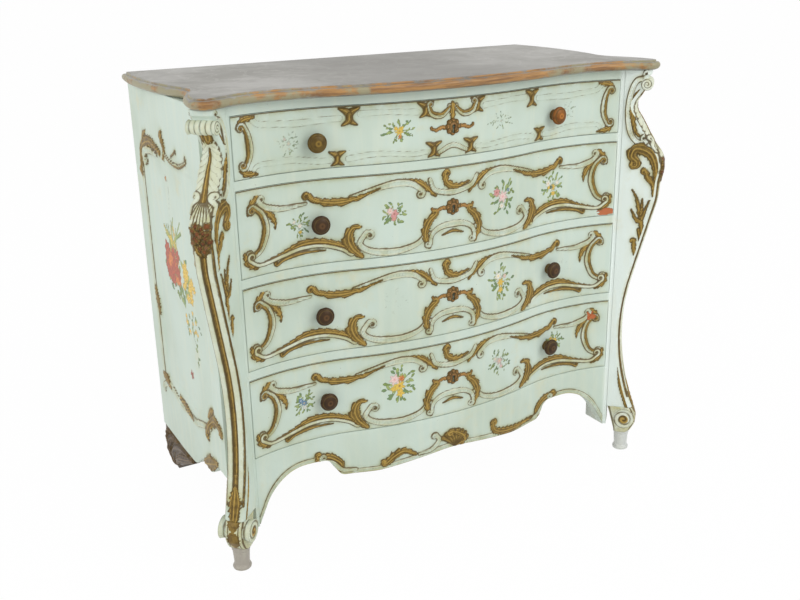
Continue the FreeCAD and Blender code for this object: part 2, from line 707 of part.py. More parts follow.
def rail(name, z, thickness, mortise):
    blank = serpentine_board(name + "_blank", "dims.half_opening", z, thickness, "0", "dims.rail_depth")
    tenon_y = ("dims.tenon_front", "dims.tenon_front + dims.tenon_width")
    pieces = [blank]
    for side in (-1, 1):
        tenon_x = mirrored(side, "dims.half_opening", "dims.half_opening + dims.tenon")
        pieces.append(board(f"{name}_tenon_{side + 1}", tenon_x, tenon_y, (z, f"{z} + {thickness}")))
    whole = fuse(name + "_tenoned", pieces)
    if not mortise:
        return keep(whole, name)
    half = "dims.bolt_width / 2 + dims.bolt_slack"
    bolt = "dims.lock_front + dims.bolt_inset"
    slot = board(name + "_mortise", (f"-({half})", half),
                 (f"{bolt} - dims.bolt_slack", f"{bolt} + dims.bolt_thickness + dims.bolt_slack"),
                 (f"{z} - dims.bolt_slack", f"{z} + dims.bolt_throw + dims.bolt_slack"))
    return keep(cut(name, whole, [slot]), name)


def rails():
    made = []
    top = "dims.overall_height - dims.top_thickness"
    top_drawer = f"{drawer_base(1)} + dims.shallow_front + dims.reveal"
    made.append(rail("top_rail", top_drawer, f"({top} - ({top_drawer}))", True))
    for drawer in (1, 2, 3):
        z = f"{drawer_base(drawer)} - dims.reveal - dims.rail_thickness"
        made.append(rail(f"divider_rail_{drawer}", z, "dims.rail_thickness", True))
    low = "dims.lowest_drawer - dims.reveal - dims.apron_top"
    made.append(rail("bottom_rail", "dims.apron_top", f"({low})", False))
    return made


# Runners: a bearer under each drawer side with a guide on it, one pair to a drawer.

def runners():
    shapes = []
    inside = "dims.side_face - dims.side_thickness"
    for drawer in DRAWERS:
        top = f"{drawer_base(drawer)} - dims.reveal"
        for side in (-1, 1):
            tag = f"runner_{drawer}_{side + 1}"
            along = ("dims.rail_depth", "dims.case_depth - dims.back_post_depth")
            bearer = board(tag + "_bearer", mirrored(side, "dims.half_opening - dims.bearer_reach", inside),
                           along, (f"{top} - dims.bearer_thickness", top))
            guide = board(tag + "_guide", mirrored(side, "dims.half_opening + dims.guide_gap", inside), along,
                          (top, f"{top} + dims.guide_height"))
            shapes.append(fuse(tag, [bearer, guide]))
    keep(group("drawer_runners", shapes), "drawer_runners")


# Stops: a strip of wood on each rail, just behind where a closed drawer's front stands.

def stops():
    shapes = []
    behind = face_at(number("dims.stop_place"), number("dims.front_thickness"))
    y = (f"{behind} + dims.running_gap", f"{behind} + dims.running_gap + dims.stop_depth")
    ends = ("dims.stop_place - dims.stop_width / 2", "dims.stop_place + dims.stop_width / 2")
    for drawer in DRAWERS:
        low = f"{drawer_base(drawer)} - dims.reveal"
        for side in (-1, 1):
            shapes.append(board(f"stop_{drawer}_{side + 1}", mirrored(side, *ends), y,
                                (low, f"{low} + dims.stop_height")))
    keep(group("drawer_stops", shapes), "drawer_stops")


# Glue blocks: along the sides under the top, and behind the apron, planed to its curve.

TOP_BLOCKS = (100, 200, 300, 380)
APRON_BLOCKS = (110, 350)


def middled(place):
    """A glue block's length about its middle."""
    return f"{place} - dims.block_length / 2", f"{place} + dims.block_length / 2"


def blocks(apron_solid):
    shapes = []
    inside = "dims.side_face - dims.side_thickness"
    under_top = "dims.overall_height - dims.top_thickness"
    under_board = "dims.apron_top - dims.board_thickness"
    for side in (-1, 1):
        x = mirrored(side, f"{inside} - dims.block_section", inside)
        z = (f"{under_top} - dims.block_section", under_top)
        for place in TOP_BLOCKS:
            shapes.append(board(f"top_block_{place}_{side + 1}", x, middled(place), z))
        for place in APRON_BLOCKS:
            back = face_at(place, number("dims.front_thickness"))
            name = f"apron_block_{place}_{side + 1}"
            blank = board(name + "_blank", mirrored(side, *middled(place)),
                          (f"{back} - dims.block_bite", f"{back} + dims.block_section"),
                          (f"{under_board} - dims.block_section", under_board))
            shapes.append(cut(name, blank, [apron_solid]))
    keep(group("glue_blocks", shapes), "glue_blocks")


# Knobs: turned, with a spigot let into the drawer front square to its curve.
# They sit a little off the middle of their fronts, by these heights from the top drawer down.

KNOB_RISE = (-5.5, -2, -1, 0.5)


def knob(name, side, z):
    place = number("dims.knob_place")
    lean = math.degrees(math.asin((number("dims.dip_place") - place) / number("dims.dip_radius")))
    body = doc.addObject("PartDesign::Body", name)
    face = face_at(place)
    body.Placement = Placement(Vector(), Rotation(Vector(0, 0, 1), side * lean))
    bind(body, {
        "Placement.Base.x": f"{side} * dims.knob_place",
        "Placement.Base.y": f"dims.front_line + {face}",
        "Placement.Base.z": z,
    })
    sketch = sketch_on(body, name + "_profile", "XY_Plane")
    radius = number("dims.knob_radius")
    neck = number("dims.knob_neck")
    reach = -number("dims.knob_reach")
    under = -number("dims.knob_neck_length")
    spigot = number("dims.spigot_radius")
    sunk = number("dims.spigot_length")
    clear = -number("dims.knob_clearance")
    polygon(sketch, [(0, sunk), (spigot, sunk), (spigot, clear), (neck, clear), (neck, under),
                     (radius, under), (radius, reach), (0, reach)])
    turned = body.newObject("PartDesign::Revolution", name + "_turned")
    turned.Profile = sketch
    turned.ReferenceAxis = (sketch, ["V_Axis"])
    turned.Angle = 360
    return body


# Escutcheons: a carved rosette with a wing each side, seated on the bow of the drawer front.

ROSETTE_EDGE = ((0, -17, 0), (12, -14, 0), (17, -6, 0), (50, -6, 0),
                (46, 3, 0), (17, 4, 0), (12, 13, 0), (0, 17, 0))


def escutcheon(drawer, wall, keyhole, z):
    name = f"drawer_{drawer}_escutcheon"
    body = new_body(name + "_blank", y="dims.escutcheon_front + dims.escutcheon_thickness", z=z)
    sketch = sketch_on(body, name + "_outline", "XZ_Plane")
    outline(sketch, *rounded_path(mirrored_path(ROSETTE_EDGE)))
    pad(body, name + "_pad", sketch, "dims.escutcheon_thickness")
    return keep(cut(name, body, [wall, keyhole]), name)


# Drawers: a thick serpentine front, thin sides dovetailed to it and to the back, and a bottom in grooves.

# The right-hand knob of the second one is lost, and its hole is open.

KNOB_LOST_FROM = 2


def drawer_side(drawer, side, name):
    base = drawer_base(drawer)
    half = "dims.half_opening - dims.reveal"
    body = new_body(name, x=f"{side} * ({half} - dims.drawer_side)", z=base)
    shoulder = "dims.side_shoulder"
    root = "dims.drawer_depth - dims.drawer_side"
    low = "-dims.reveal + dims.running_gap"
    high = f"{front_height(drawer)} - dims.side_drop"
    sketch = sketch_on(body, name + "_outline", "YZ_Plane")
    rectangle(sketch, (shoulder, root), (low, high))
    pad(body, name + "_board", sketch, "dims.drawer_side", reverse=side < 0)
    tall = number("dims.tail_height")
    flare = number("dims.tail_flare")
    first = number("dims.first_tail")
    count = 2 if drawer == 1 else 3
    ends = ((number(shoulder), number(f"{shoulder} - dims.tail_lap")),
            (number(root), number("dims.drawer_depth")))
    for label, (start, stop) in zip(("front", "back"), ends):
        tail_sketch = sketch_on(body, f"{name}_{label}_tail_outline", "YZ_Plane")
        polygon(tail_sketch, [(start, first), (stop, first - flare), (stop, first + tall + flare),
                              (start, first + tall)])
        tail = pad(body, f"{name}_{label}_tail", tail_sketch, "dims.drawer_side", reverse=side < 0)
        tails = body.newObject("PartDesign::LinearPattern", f"{name}_{label}_tails")
        tails.Originals = [tail]
        tails.Direction = (tail_sketch, ["V_Axis"])
        tails.Occurrences = count
        tails.setExpression("Length", f"dims.tail_pitch * {count - 1}")
        body.Tip = tails
    slot = sketch_on(body, name + "_groove_outline", "YZ_Plane")
    rectangle(slot, (f"{shoulder} - 2 * dims.tail_lap", "dims.drawer_depth + dims.tail_lap"),
              ("dims.floor_rise", "dims.floor_rise + dims.drawer_floor"))
    pocket(body, name + "_groove", slot, "dims.groove", reverse=side > 0)
    return keep(body, name)


def drawer(number_from_top):
    tag = f"drawer_{number_from_top}"
    base = drawer_base(number_from_top)
    height = front_height(number_from_top)
    half = "dims.half_opening - dims.reveal"
    wall = serpentine_wall(tag + "_wall", half, base, height, "dims.front_thickness")
    sides = [drawer_side(number_from_top, side, f"{tag}_{word}_side")
             for side, word in ((-1, "left"), (1, "right"))]
    bottom = serpentine_board(tag + "_bottom", f"{half} - dims.drawer_side + dims.groove",
                              f"{base} + dims.floor_rise", "dims.drawer_floor",
                              "dims.front_thickness - dims.groove", "dims.drawer_depth")
    keep(bottom, tag + "_bottom")
    back_blank = board(tag + "_back_blank", (f"-({half})", half),
                       ("dims.drawer_depth - dims.drawer_side", "dims.drawer_depth"),
                       (f"{base} + dims.floor_rise + dims.drawer_floor",
                        f"{base} + {height} - dims.side_drop - dims.back_drop"))
    keep(cut(tag + "_back", back_blank, sides), tag + "_back")
    middle = f"{base} + {height} / 2"
    knob_z = f"{middle} + {KNOB_RISE[number_from_top - 1]}"
    knobs = [knob(f"{tag}_knob_{side + 1}", side, knob_z) for side in (-1, 1)]
    present = knobs[:1] if number_from_top == KNOB_LOST_FROM else knobs
    keep(group(tag + "_knobs", present), tag + "_knobs")
    keyhole_z = f"{middle} + dims.keyhole_rise"
    hole = rod(tag + "_keyhole_round", "dims.keyhole_radius", "dims.keyhole_length", "0", "dims.lock_front",
               keyhole_z)
    slit = board(tag + "_keyhole_slit", ("-dims.keyhole_slot / 2", "dims.keyhole_slot / 2"),
                 ("dims.lock_front - dims.keyhole_length", "dims.lock_front"),
                 (f"{keyhole_z} - dims.keyhole_drop", keyhole_z))
    keyhole = fuse(tag + "_keyhole", [hole, slit])
    escutcheon(number_from_top, wall, keyhole, keyhole_z)
    top = f"{base} + {height}"
    lock_x = ("-dims.lock_width / 2", "dims.lock_width / 2")
    lock_low = f"{middle} - dims.lock_drop"
    case = board(tag + "_lock_blank", lock_x, ("dims.lock_front", "dims.lock_front + dims.lock_thickness"),
                 (lock_low, top))
    gap = "dims.running_gap"
    slack = "dims.bolt_slack"
    bolt_x = ("-dims.bolt_width / 2", "dims.bolt_width / 2")
    bolt_y = ("dims.lock_front + dims.bolt_inset", "dims.lock_front + dims.bolt_inset + dims.bolt_thickness")
    bolt_low = f"{top} - dims.bolt_length"
    bolt = board(tag + "_lock_bolt", bolt_x, bolt_y, (bolt_low, top))
    way = board(tag + "_bolt_way", (f"{bolt_x[0]} - {gap}", f"{bolt_x[1]} + {gap}"),
                (f"{bolt_y[0]} - {gap}", f"{bolt_y[1]} + {gap}"),
                (f"{bolt_low} - {slack}", f"{top} + {slack}"))
    keep(cut(tag + "_lock_case", case, [way]), tag + "_lock_case")
    keep(bolt, tag + "_lock_bolt")
    recess = board(tag + "_lock_recess", lock_x,
                   ("dims.lock_front", "dims.lock_front + dims.front_thickness"),
                   (lock_low, f"{top} + {slack}"))
    keep(cut(tag + "_front", wall, sides + [bottom, keyhole, recess] + knobs), tag + "_front")


# The case.

def case():
    top_board()
    rail_solids = rails()
    pilasters = {}
    feet = {}
    for side, word in ((-1, "left"), (1, "right")):
        pilasters[side] = pilaster(side, f"{word}_corner_pilaster")
        feet[side] = front_foot(side, f"{word}_front_foot")
        back_foot(side, f"{word}_back_foot")
    apron_solid = apron()
    keep(serpentine_board("bottom_board", "dims.half_opening", "dims.apron_top - dims.board_thickness",
                          "dims.board_thickness", "dims.front_thickness",
                          "dims.case_depth - dims.back_thickness"), "bottom_board")
    height = ("dims.back_foot_height", "dims.overall_height - dims.top_thickness")
    back = keep(board("back_panel", ("-dims.half_opening - dims.tenon", "dims.half_opening + dims.tenon"),
                      ("dims.case_depth - dims.back_thickness", "dims.case_depth"), height), "back_panel")
    inside = "dims.side_face - dims.side_thickness"
    for side, word in ((-1, "left"), (1, "right")):
        post = front_post(side, f"{word}_front_post", rail_solids)
        side_panel(side, f"{word}_side_panel", [pilasters[side], post])
        blank = board(f"{word}_back_post_blank", mirrored(side, "dims.half_opening", inside),
                      ("dims.case_depth - dims.back_post_depth", "dims.case_depth"), height)
        keep(cut(f"{word}_back_post", blank, [back]), f"{word}_back_post")
    runners()
    stops()
    blocks(apron_solid)


case()
for drawer_number in DRAWERS:
    drawer(drawer_number)
doc.recompute()

# Every object must have been made, and every sub-part must be a sound shape.
failed = [f"{item.Name}: {item.getStatusString()}" for item in doc.Objects
          if "Invalid" in item.State or "Error" in item.State]
unsound = [item.Label for item in sub_parts
           if item.Shape.isNull() or not item.Shape.isValid() or not item.Shape.Solids]
if failed or unsound:
    raise RuntimeError(f"failed: {failed}, no sound shape: {unsound}")

os.makedirs("parts", exist_ok=True)
for item in sub_parts:
    item.Shape.exportStep(f"parts/{item.Label}.step")
print(len(sub_parts), "sub-parts")
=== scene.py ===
# %% [markdown]
# # A painted serpentine chest of drawers
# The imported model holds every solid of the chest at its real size.  This lesson dresses it: carved skins
# over the plain boards, turned knobs, gilded scrolls, aged paint and a worn faux-marble top.

import json
import math

import bpy
import numpy as np
from mathutils import Matrix, Vector


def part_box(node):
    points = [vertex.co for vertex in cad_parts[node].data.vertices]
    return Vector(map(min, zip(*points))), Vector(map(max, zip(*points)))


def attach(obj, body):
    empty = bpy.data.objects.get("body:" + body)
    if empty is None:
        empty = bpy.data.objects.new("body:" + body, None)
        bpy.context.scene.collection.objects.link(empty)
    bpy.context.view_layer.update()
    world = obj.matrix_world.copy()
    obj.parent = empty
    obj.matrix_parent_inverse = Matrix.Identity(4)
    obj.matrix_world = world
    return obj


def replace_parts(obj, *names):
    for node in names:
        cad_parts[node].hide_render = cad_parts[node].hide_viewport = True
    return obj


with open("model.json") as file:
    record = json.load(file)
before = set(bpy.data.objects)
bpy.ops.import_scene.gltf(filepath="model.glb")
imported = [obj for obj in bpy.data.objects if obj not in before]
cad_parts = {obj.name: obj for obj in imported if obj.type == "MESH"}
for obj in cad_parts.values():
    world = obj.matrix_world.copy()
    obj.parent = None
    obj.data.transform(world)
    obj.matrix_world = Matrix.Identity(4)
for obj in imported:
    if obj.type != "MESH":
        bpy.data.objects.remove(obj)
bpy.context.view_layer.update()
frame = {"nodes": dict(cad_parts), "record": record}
nodes = frame["nodes"]
print("loaded", len(nodes), "nodes")

# %% [markdown]
# ## Sizes
# All shapes below are worked out in millimetres and scaled once, when a mesh is made.  Depths are counted
# from the front line, the line through the faces of the two front posts, which the frame itself gives.
# A skin stands SKIN proud of its board and is tucked TUCK into it.  Most of its edges stop INSET short of
# the board's own.

# %% Sizes
MM = 0.001
CASE_DEPTH = 455
SIDE_FACE = 480
HALF_OPENING = 428
UNDER_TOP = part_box("top_board")[0].z / MM
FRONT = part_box("back_panel")[1].y / MM - CASE_DEPTH
BOW_RADIUS, DIP_RADIUS, DIP_PLACE, DIP_DEPTH = 765, 400, 310, 18
CORNER = 460
SKIN, TUCK, INSET = 0.6, 0.25, 0.3
DRAWERS = (1, 2, 3, 4)
SIDE_WORD = {-1: "left", 1: "right"}
print("front line at y", round(FRONT, 2), "mm")


def span(node, axis):
    """Lowest and highest coordinate of a node along an axis, in millimetres."""
    low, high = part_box(node)
    return low[axis] / MM, high[axis] / MM


# %% [markdown]
# ## From arrays to meshes
# A closed mesh has one useful property: the signed volume of its faces tells whether they point outwards.
# So each builder makes a closed surface, and one test turns it the right way round.

# %% Mesh builders
def signed_volume(points, quads):
    """Sum of p0 . (p1 x p2) over the triangles, a sixth of which is the volume."""
    a, b, c, d = (points[quads[:, k]] for k in range(4))
    return ((a * np.cross(b, c)).sum() + (a * np.cross(c, d)).sum()) / 6


def make_piece(name, points, quads, body, material, paint=None, caps=()):
    """A smooth-shaded mesh from points in millimetres, quads (a triangle repeats a corner) and flat caps."""
    fans = [np.stack([np.full(len(cap) - 2, cap[0]), cap[1:-1], cap[2:], cap[2:]], -1) for cap in caps]
    if signed_volume(points, np.concatenate([quads] + fans)) < 0:
        quads = quads[:, ::-1]
        caps = [cap[::-1] for cap in caps]
    triangle = (quads == np.roll(quads, 1, axis=1)).any(axis=1)
    plain = quads[~triangle]
    ends = [tuple(dict.fromkeys(face)) for face in quads[triangle].tolist()]
    mesh = bpy.data.meshes.new(name)
    mesh.from_pydata((points * MM).tolist(), [], plain.tolist() + ends + [cap.tolist() for cap in caps])
    for label, values in (paint or {}).items():
        layer = mesh.attributes.new(label, "FLOAT_COLOR", "POINT")
        layer.data.foreach_set("color", values.astype(np.float32).ravel())
    mesh.polygons.foreach_set("use_smooth", np.ones(len(mesh.polygons), bool))
    mesh.materials.append(material)
    mesh.update()
    piece = bpy.data.objects.new(name, mesh)
    bpy.context.scene.collection.objects.link(piece)
    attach(piece, body)
    return piece


def shell_faces(mask):
    """Quads of a closed sheet between two equal grids: both faces, and a wall along every open edge."""
    rows, columns = mask.shape
    index = np.arange((rows + 1) * (columns + 1)).reshape(rows + 1, columns + 1)
    count = index.size
    a, b, c, d = index[:-1, :-1], index[1:, :-1], index[1:, 1:], index[:-1, 1:]
    cells = np.stack([a, b, c, d], -1)[mask]
    quads = [cells, cells[:, ::-1] + count]
    padded = np.pad(mask, 1)
    neighbours = (padded[1:-1, :-2], padded[2:, 1:-1], padded[1:-1, 2:], padded[:-2, 1:-1])
    for (first, last), beside in zip(((a, b), (b, c), (c, d), (d, a)), neighbours):
        open_edge = mask & ~beside
        p, q = first[open_edge], last[open_edge]
        quads.append(np.stack([q, p, p + count, q + count], -1))
    return np.concatenate(quads)


def sheet_piece(name, front, back, mask, body, material, paint):
    """A closed sheet between a front and a back grid of points, painted by arrays over the front grid."""
    points = np.concatenate([front.reshape(-1, 3), back.reshape(-1, 3)])
    doubled = {label: np.concatenate([values.reshape(-1, 4)] * 2) for label, values in paint.items()}
    quads = shell_faces(mask)
    used = np.unique(quads)
    renumber = np.zeros(len(points), int)
    renumber[used] = np.arange(len(used))
    doubled = {label: values[used] for label, values in doubled.items()}
    return make_piece(name, points[used], renumber[quads], body, material, doubled)


def with_middles(rings):
    """The values of all rings in one list, then the mean of the first ring and the mean of the last one."""
    first, last = rings[0].mean(0)[None], rings[-1].mean(0)[None]
    return np.concatenate([rings.reshape(-1, rings.shape[-1]), first, last])


def tube_piece(name, rings, body, material, paint=None):
    """A closed tube through rings of points (ring, place, xyz), shut by fans to the middle of each end."""
    count, around = rings.shape[:2]
    index = np.arange(count * around).reshape(count, around)
    after = np.roll(index, -1, axis=1)
    sides = np.stack([index[:-1], after[:-1], after[1:], index[1:]], -1).reshape(-1, 4)
    low, high = count * around, count * around + 1
    caps = [np.stack([np.full(around, low), after[0], index[0], index[0]], -1),
            np.stack([np.full(around, high), index[-1], after[-1], after[-1]], -1)]
    if paint:
        paint = {label: with_middles(values) for label, values in paint.items()}
    quads = np.concatenate([sides] + caps)
    return make_piece(name, with_middles(rings), quads, body, material, paint)


unit_cube = np.array([(x, y, z) for x in (0, 1) for y in (0, 1) for z in (0, 1)], float)
cube_quads = np.array([(0, 1, 3, 2), (4, 6, 7, 5), (0, 4, 5, 1), (2, 3, 7, 6), (0, 2, 6, 4), (1, 5, 7, 3)])
print("signed volume of a unit cube", signed_volume(unit_cube, cube_quads))

# %% [markdown]
# ## Drawing with strokes
# Rococo carving is drawn with a few kinds of stroke: ribbed bands that end in volutes, acanthus leaves with
# swept lobes, and plain cords.  They could be sculpted by hand, but a stroke that is a formula can be moved,
# mirrored and drawn again at another size.  A stroke is a smooth line with a width along it.  On a fine grid
# of points, the distance to the nearest place on the line gives the carved height and the paint in one go.

# %% Lines
def smooth(points, step=1.5):
    """A Catmull-Rom curve through control points, cut at about even steps."""
    knots = np.array(points, float)
    knots = np.vstack([2 * knots[0] - knots[1], knots, 2 * knots[-1] - knots[-2]])
    parts = []
    for a, b, c, d in zip(knots, knots[1:], knots[2:], knots[3:]):
        t = np.linspace(0, 1, max(4, int(np.linalg.norm(c - b) / step)), endpoint=False)[:, None]
        parts.append(b + (c - a) * t / 2 + (2 * a - 5 * b + 4 * c - d) * t ** 2 / 2
                     + (3 * b - a - 3 * c + d) * t ** 3 / 2)
    return np.concatenate(parts + [knots[-2][None]])


def volute(path, radius, hand, turns=1.25):
    """The path with a spiral at its end: the radius and the width shrink evenly as the angle grows."""
    last = path[-1, :2]
    heading = (last - path[-3, :2]) / np.linalg.norm(last - path[-3, :2])
    centre = last + np.array([-heading[1], heading[0]]) * hand * radius
    start = math.atan2(*(last - centre)[::-1])
    share = np.linspace(0, 1, int(turns * radius * 3) + 8)[1:]
    angle = start + hand * turns * 2 * math.pi * share
    reach = radius * (1 - 0.8 * share)
    width = path[-1, 2] * (1 - 0.65 * share)
    spiral = np.stack([centre[0] + reach * np.cos(angle), centre[1] + reach * np.sin(angle), width], 1)
    return np.vstack([path, spiral])


def line(points, start=None, end=None):
    """A smooth line of (u, v, share of the width), with a volute (radius, hand) at either end."""
    path = smooth(points)
    path = np.column_stack([path, np.ones(len(path))])
    if end:
        path = volute(path, *end)
    if start:
        path = volute(path[::-1], *start)[::-1]
    return path


print("a 30 mm line has", len(line([(0, 0), (30, 0)])), "points, and with a volute",
      len(line([(0, 0), (30, 0)], end=(6, 1))))

# %% Kinds of stroke
def blurred(values, cells):
    """A Gaussian blur by way of the Fourier transform, with the edges mirrored."""
    pad = math.ceil(cells * 3)
    wide = np.pad(values, pad, mode="reflect")
    rows = np.fft.fftfreq(wide.shape[0])[:, None]
    columns = np.fft.rfftfreq(wide.shape[1])[None]
    bell = np.exp(-2 * (math.pi * cells) ** 2 * (columns ** 2 + rows ** 2))
    soft = np.fft.irfft2(np.fft.rfft2(wide) * bell, wide.shape)
    return soft[pad:-pad, pad:-pad]


def step_up(values, low, high):
    """0 below low, 1 above high, smooth between."""
    t = np.clip((values - low) / (high - low), 0, 1)
    return t * t * (3 - 2 * t)


def fine_line(place, middle, width, thick=1.4):
    """1 on a thin line that runs at a share of the width, 0 beside it."""
    return np.exp(-(((place - middle) * width) / thick) ** 2)


def tooth(along, lobe, sweep, away):
    """Sawtooth along a line, shifted with the distance from it, which sweeps the lobes."""
    return (along / lobe + sweep * away) % 1


# Each kind takes the place across the line, from 1 at its left edge to -1 at its right edge, the way along
# it, the half width and a lobe length.  It returns how far across the shape ends, the share of its height,
# its gilding, its dark lines and its light tone, which is cream on paint and a painted highlight on gilding.

def band(across, along, width, lobe):
    """Two rims with a ribbed hollow between them, and a dark line on each side, the right one darker."""
    away = np.abs(across)
    hollow = 1 - step_up(away, 0.4, 0.65)
    rib = 0.5 + 0.5 * np.cos(2 * math.pi * along / 6)
    rims = 0.5 * np.exp(-((away - 0.72) / 0.2) ** 2)
    height = np.sqrt(np.clip(1 - away ** 4, 0, 1)) * (0.5 + 0.12 * rib * hollow) + rims
    ink = np.maximum(fine_line(across, -1, width, 1.4), fine_line(across, 1, width, 1.2) * 0.75)
    ink = np.maximum(ink, np.maximum(fine_line(away, 0.42, width, 0.9) * 0.45, hollow * (1 - rib) * 0.42))
    return np.ones(away.shape), height, np.zeros(away.shape), ink, step_up(away, 0.35, 0.6)


def plain_band(across, along, width, lobe):
    """Two faint thin lines with nothing laid on between them."""
    away = np.abs(across)
    height = np.exp(-((away - 0.8) / 0.3) ** 2)
    ink = fine_line(away, 0.95, width, 1.1) * 0.62
    return np.ones(away.shape), height, np.zeros(away.shape), ink, np.full(away.shape, 0.3)


def gilt_band(across, along, width, lobe):
    """A band whose left half is gilded, with a painted highlight along a line on that half."""
    edge, height, _, ink, light = band(across, along, width, lobe)
    gilt = step_up(across, -0.15, 0.1)
    pale_ink = np.maximum(ink, fine_line(across, 0, width) * 0.7)
    ink = np.where(across > 0, fine_line(across, 1, width) * 0.9, pale_ink)
    return edge, height, gilt, ink, np.where(across > 0, fine_line(across, 0.55, width) * 0.6, light)


def cord(across, along, width, lobe):
    """Half round, light along its crown, with a dark line on each side."""
    away = np.abs(across)
    height = np.sqrt(np.clip(1 - across ** 2, 0, 1))
    ink = fine_line(away, 1.05, width, 1.6) * 0.9
    return np.ones(away.shape), height, np.zeros(away.shape), ink, 1 - 0.5 * away


def gilt_cord(across, along, width, lobe):
    """A cord that is gilded all over, with a painted highlight only along the crown."""
    edge, height, _, ink, _ = cord(across, along, width, lobe)
    return edge, height, np.ones(across.shape), ink, fine_line(across, 0, width) * 0.8


def leaf(across, along, width, lobe):
    """Gilded acanthus: long swept lobes on the left edge, short ones on the right, veins along it, and a
    painted highlight down the middle and along two lines beside it.
    """
    away = np.abs(across)
    teeth = np.where(across > 0, tooth(along, lobe, 0.35, away), tooth(along, lobe * 0.55, 0.35, away))
    edge = np.where(across > 0, 0.62 + 0.52 * teeth, 0.76 + 0.3 * teeth)
    share = away / edge
    height = np.sqrt(np.clip(1 - share ** 2, 0, 1)) * (0.76 + 0.24 * np.cos(2 * math.pi * across / 0.62))
    ink = np.maximum(fine_line(share, 0.98, width, 1.3), fine_line(away, 0.33, width, 0.9) * 0.66)
    ink = np.maximum(ink, step_up(teeth, 0.84, 1) * step_up(away, 0.35, 0.6) * 0.8)
    light = np.maximum(fine_line(across, 0, width, 1.5), fine_line(away, 0.62, width) * 0.7)
    return edge, height, np.ones(away.shape), ink, light


def feather(across, along, width, lobe):
    """Pale acanthus: ribs that sweep outwards from the middle, with a scalloped, gilded edge."""
    away = np.abs(across)
    teeth = tooth(along, lobe, -2, away)
    swell = np.sin(math.pi * teeth)
    edge = 0.86 + 0.16 * swell
    height = np.sqrt(np.clip(1 - (away / edge) ** 3, 0, 1)) * (0.72 + 0.28 * swell)
    ink = np.maximum(fine_line(teeth * lobe, 0, 1, 1.8), fine_line(teeth * lobe, lobe, 1, 1.8)) * 0.56
    ink = np.maximum(ink * step_up(away, 0.12, 0.3), fine_line(away, edge, width, 1.6) * 0.9)
    return edge, height, 0.7 * step_up(away, 0.78, 1), ink, np.full(away.shape, 0.9)


STROKES = {"band": band, "plain_band": plain_band, "gilt_band": gilt_band, "cord": cord,
           "gilt_cord": gilt_cord, "leaf": leaf, "feather": feather}
print("kinds of stroke:", ", ".join(STROKES))

# %% [markdown]
# ## Relief
# A carver cuts depth and a gilder follows with paint, so one object here holds both: a height, gilding, light
# tone, dark lines and flowers over the same grid.  Where strokes cross, the higher one stands out and the
# later one's paint covers.  The paint goes to the mesh as colour attributes, which need no image and no
# unwrapping.

# %% Relief
SOFT_EDGE = 2.4
CAVITY_BLUR, GLAZE_BLUR = 2.2, 4.5


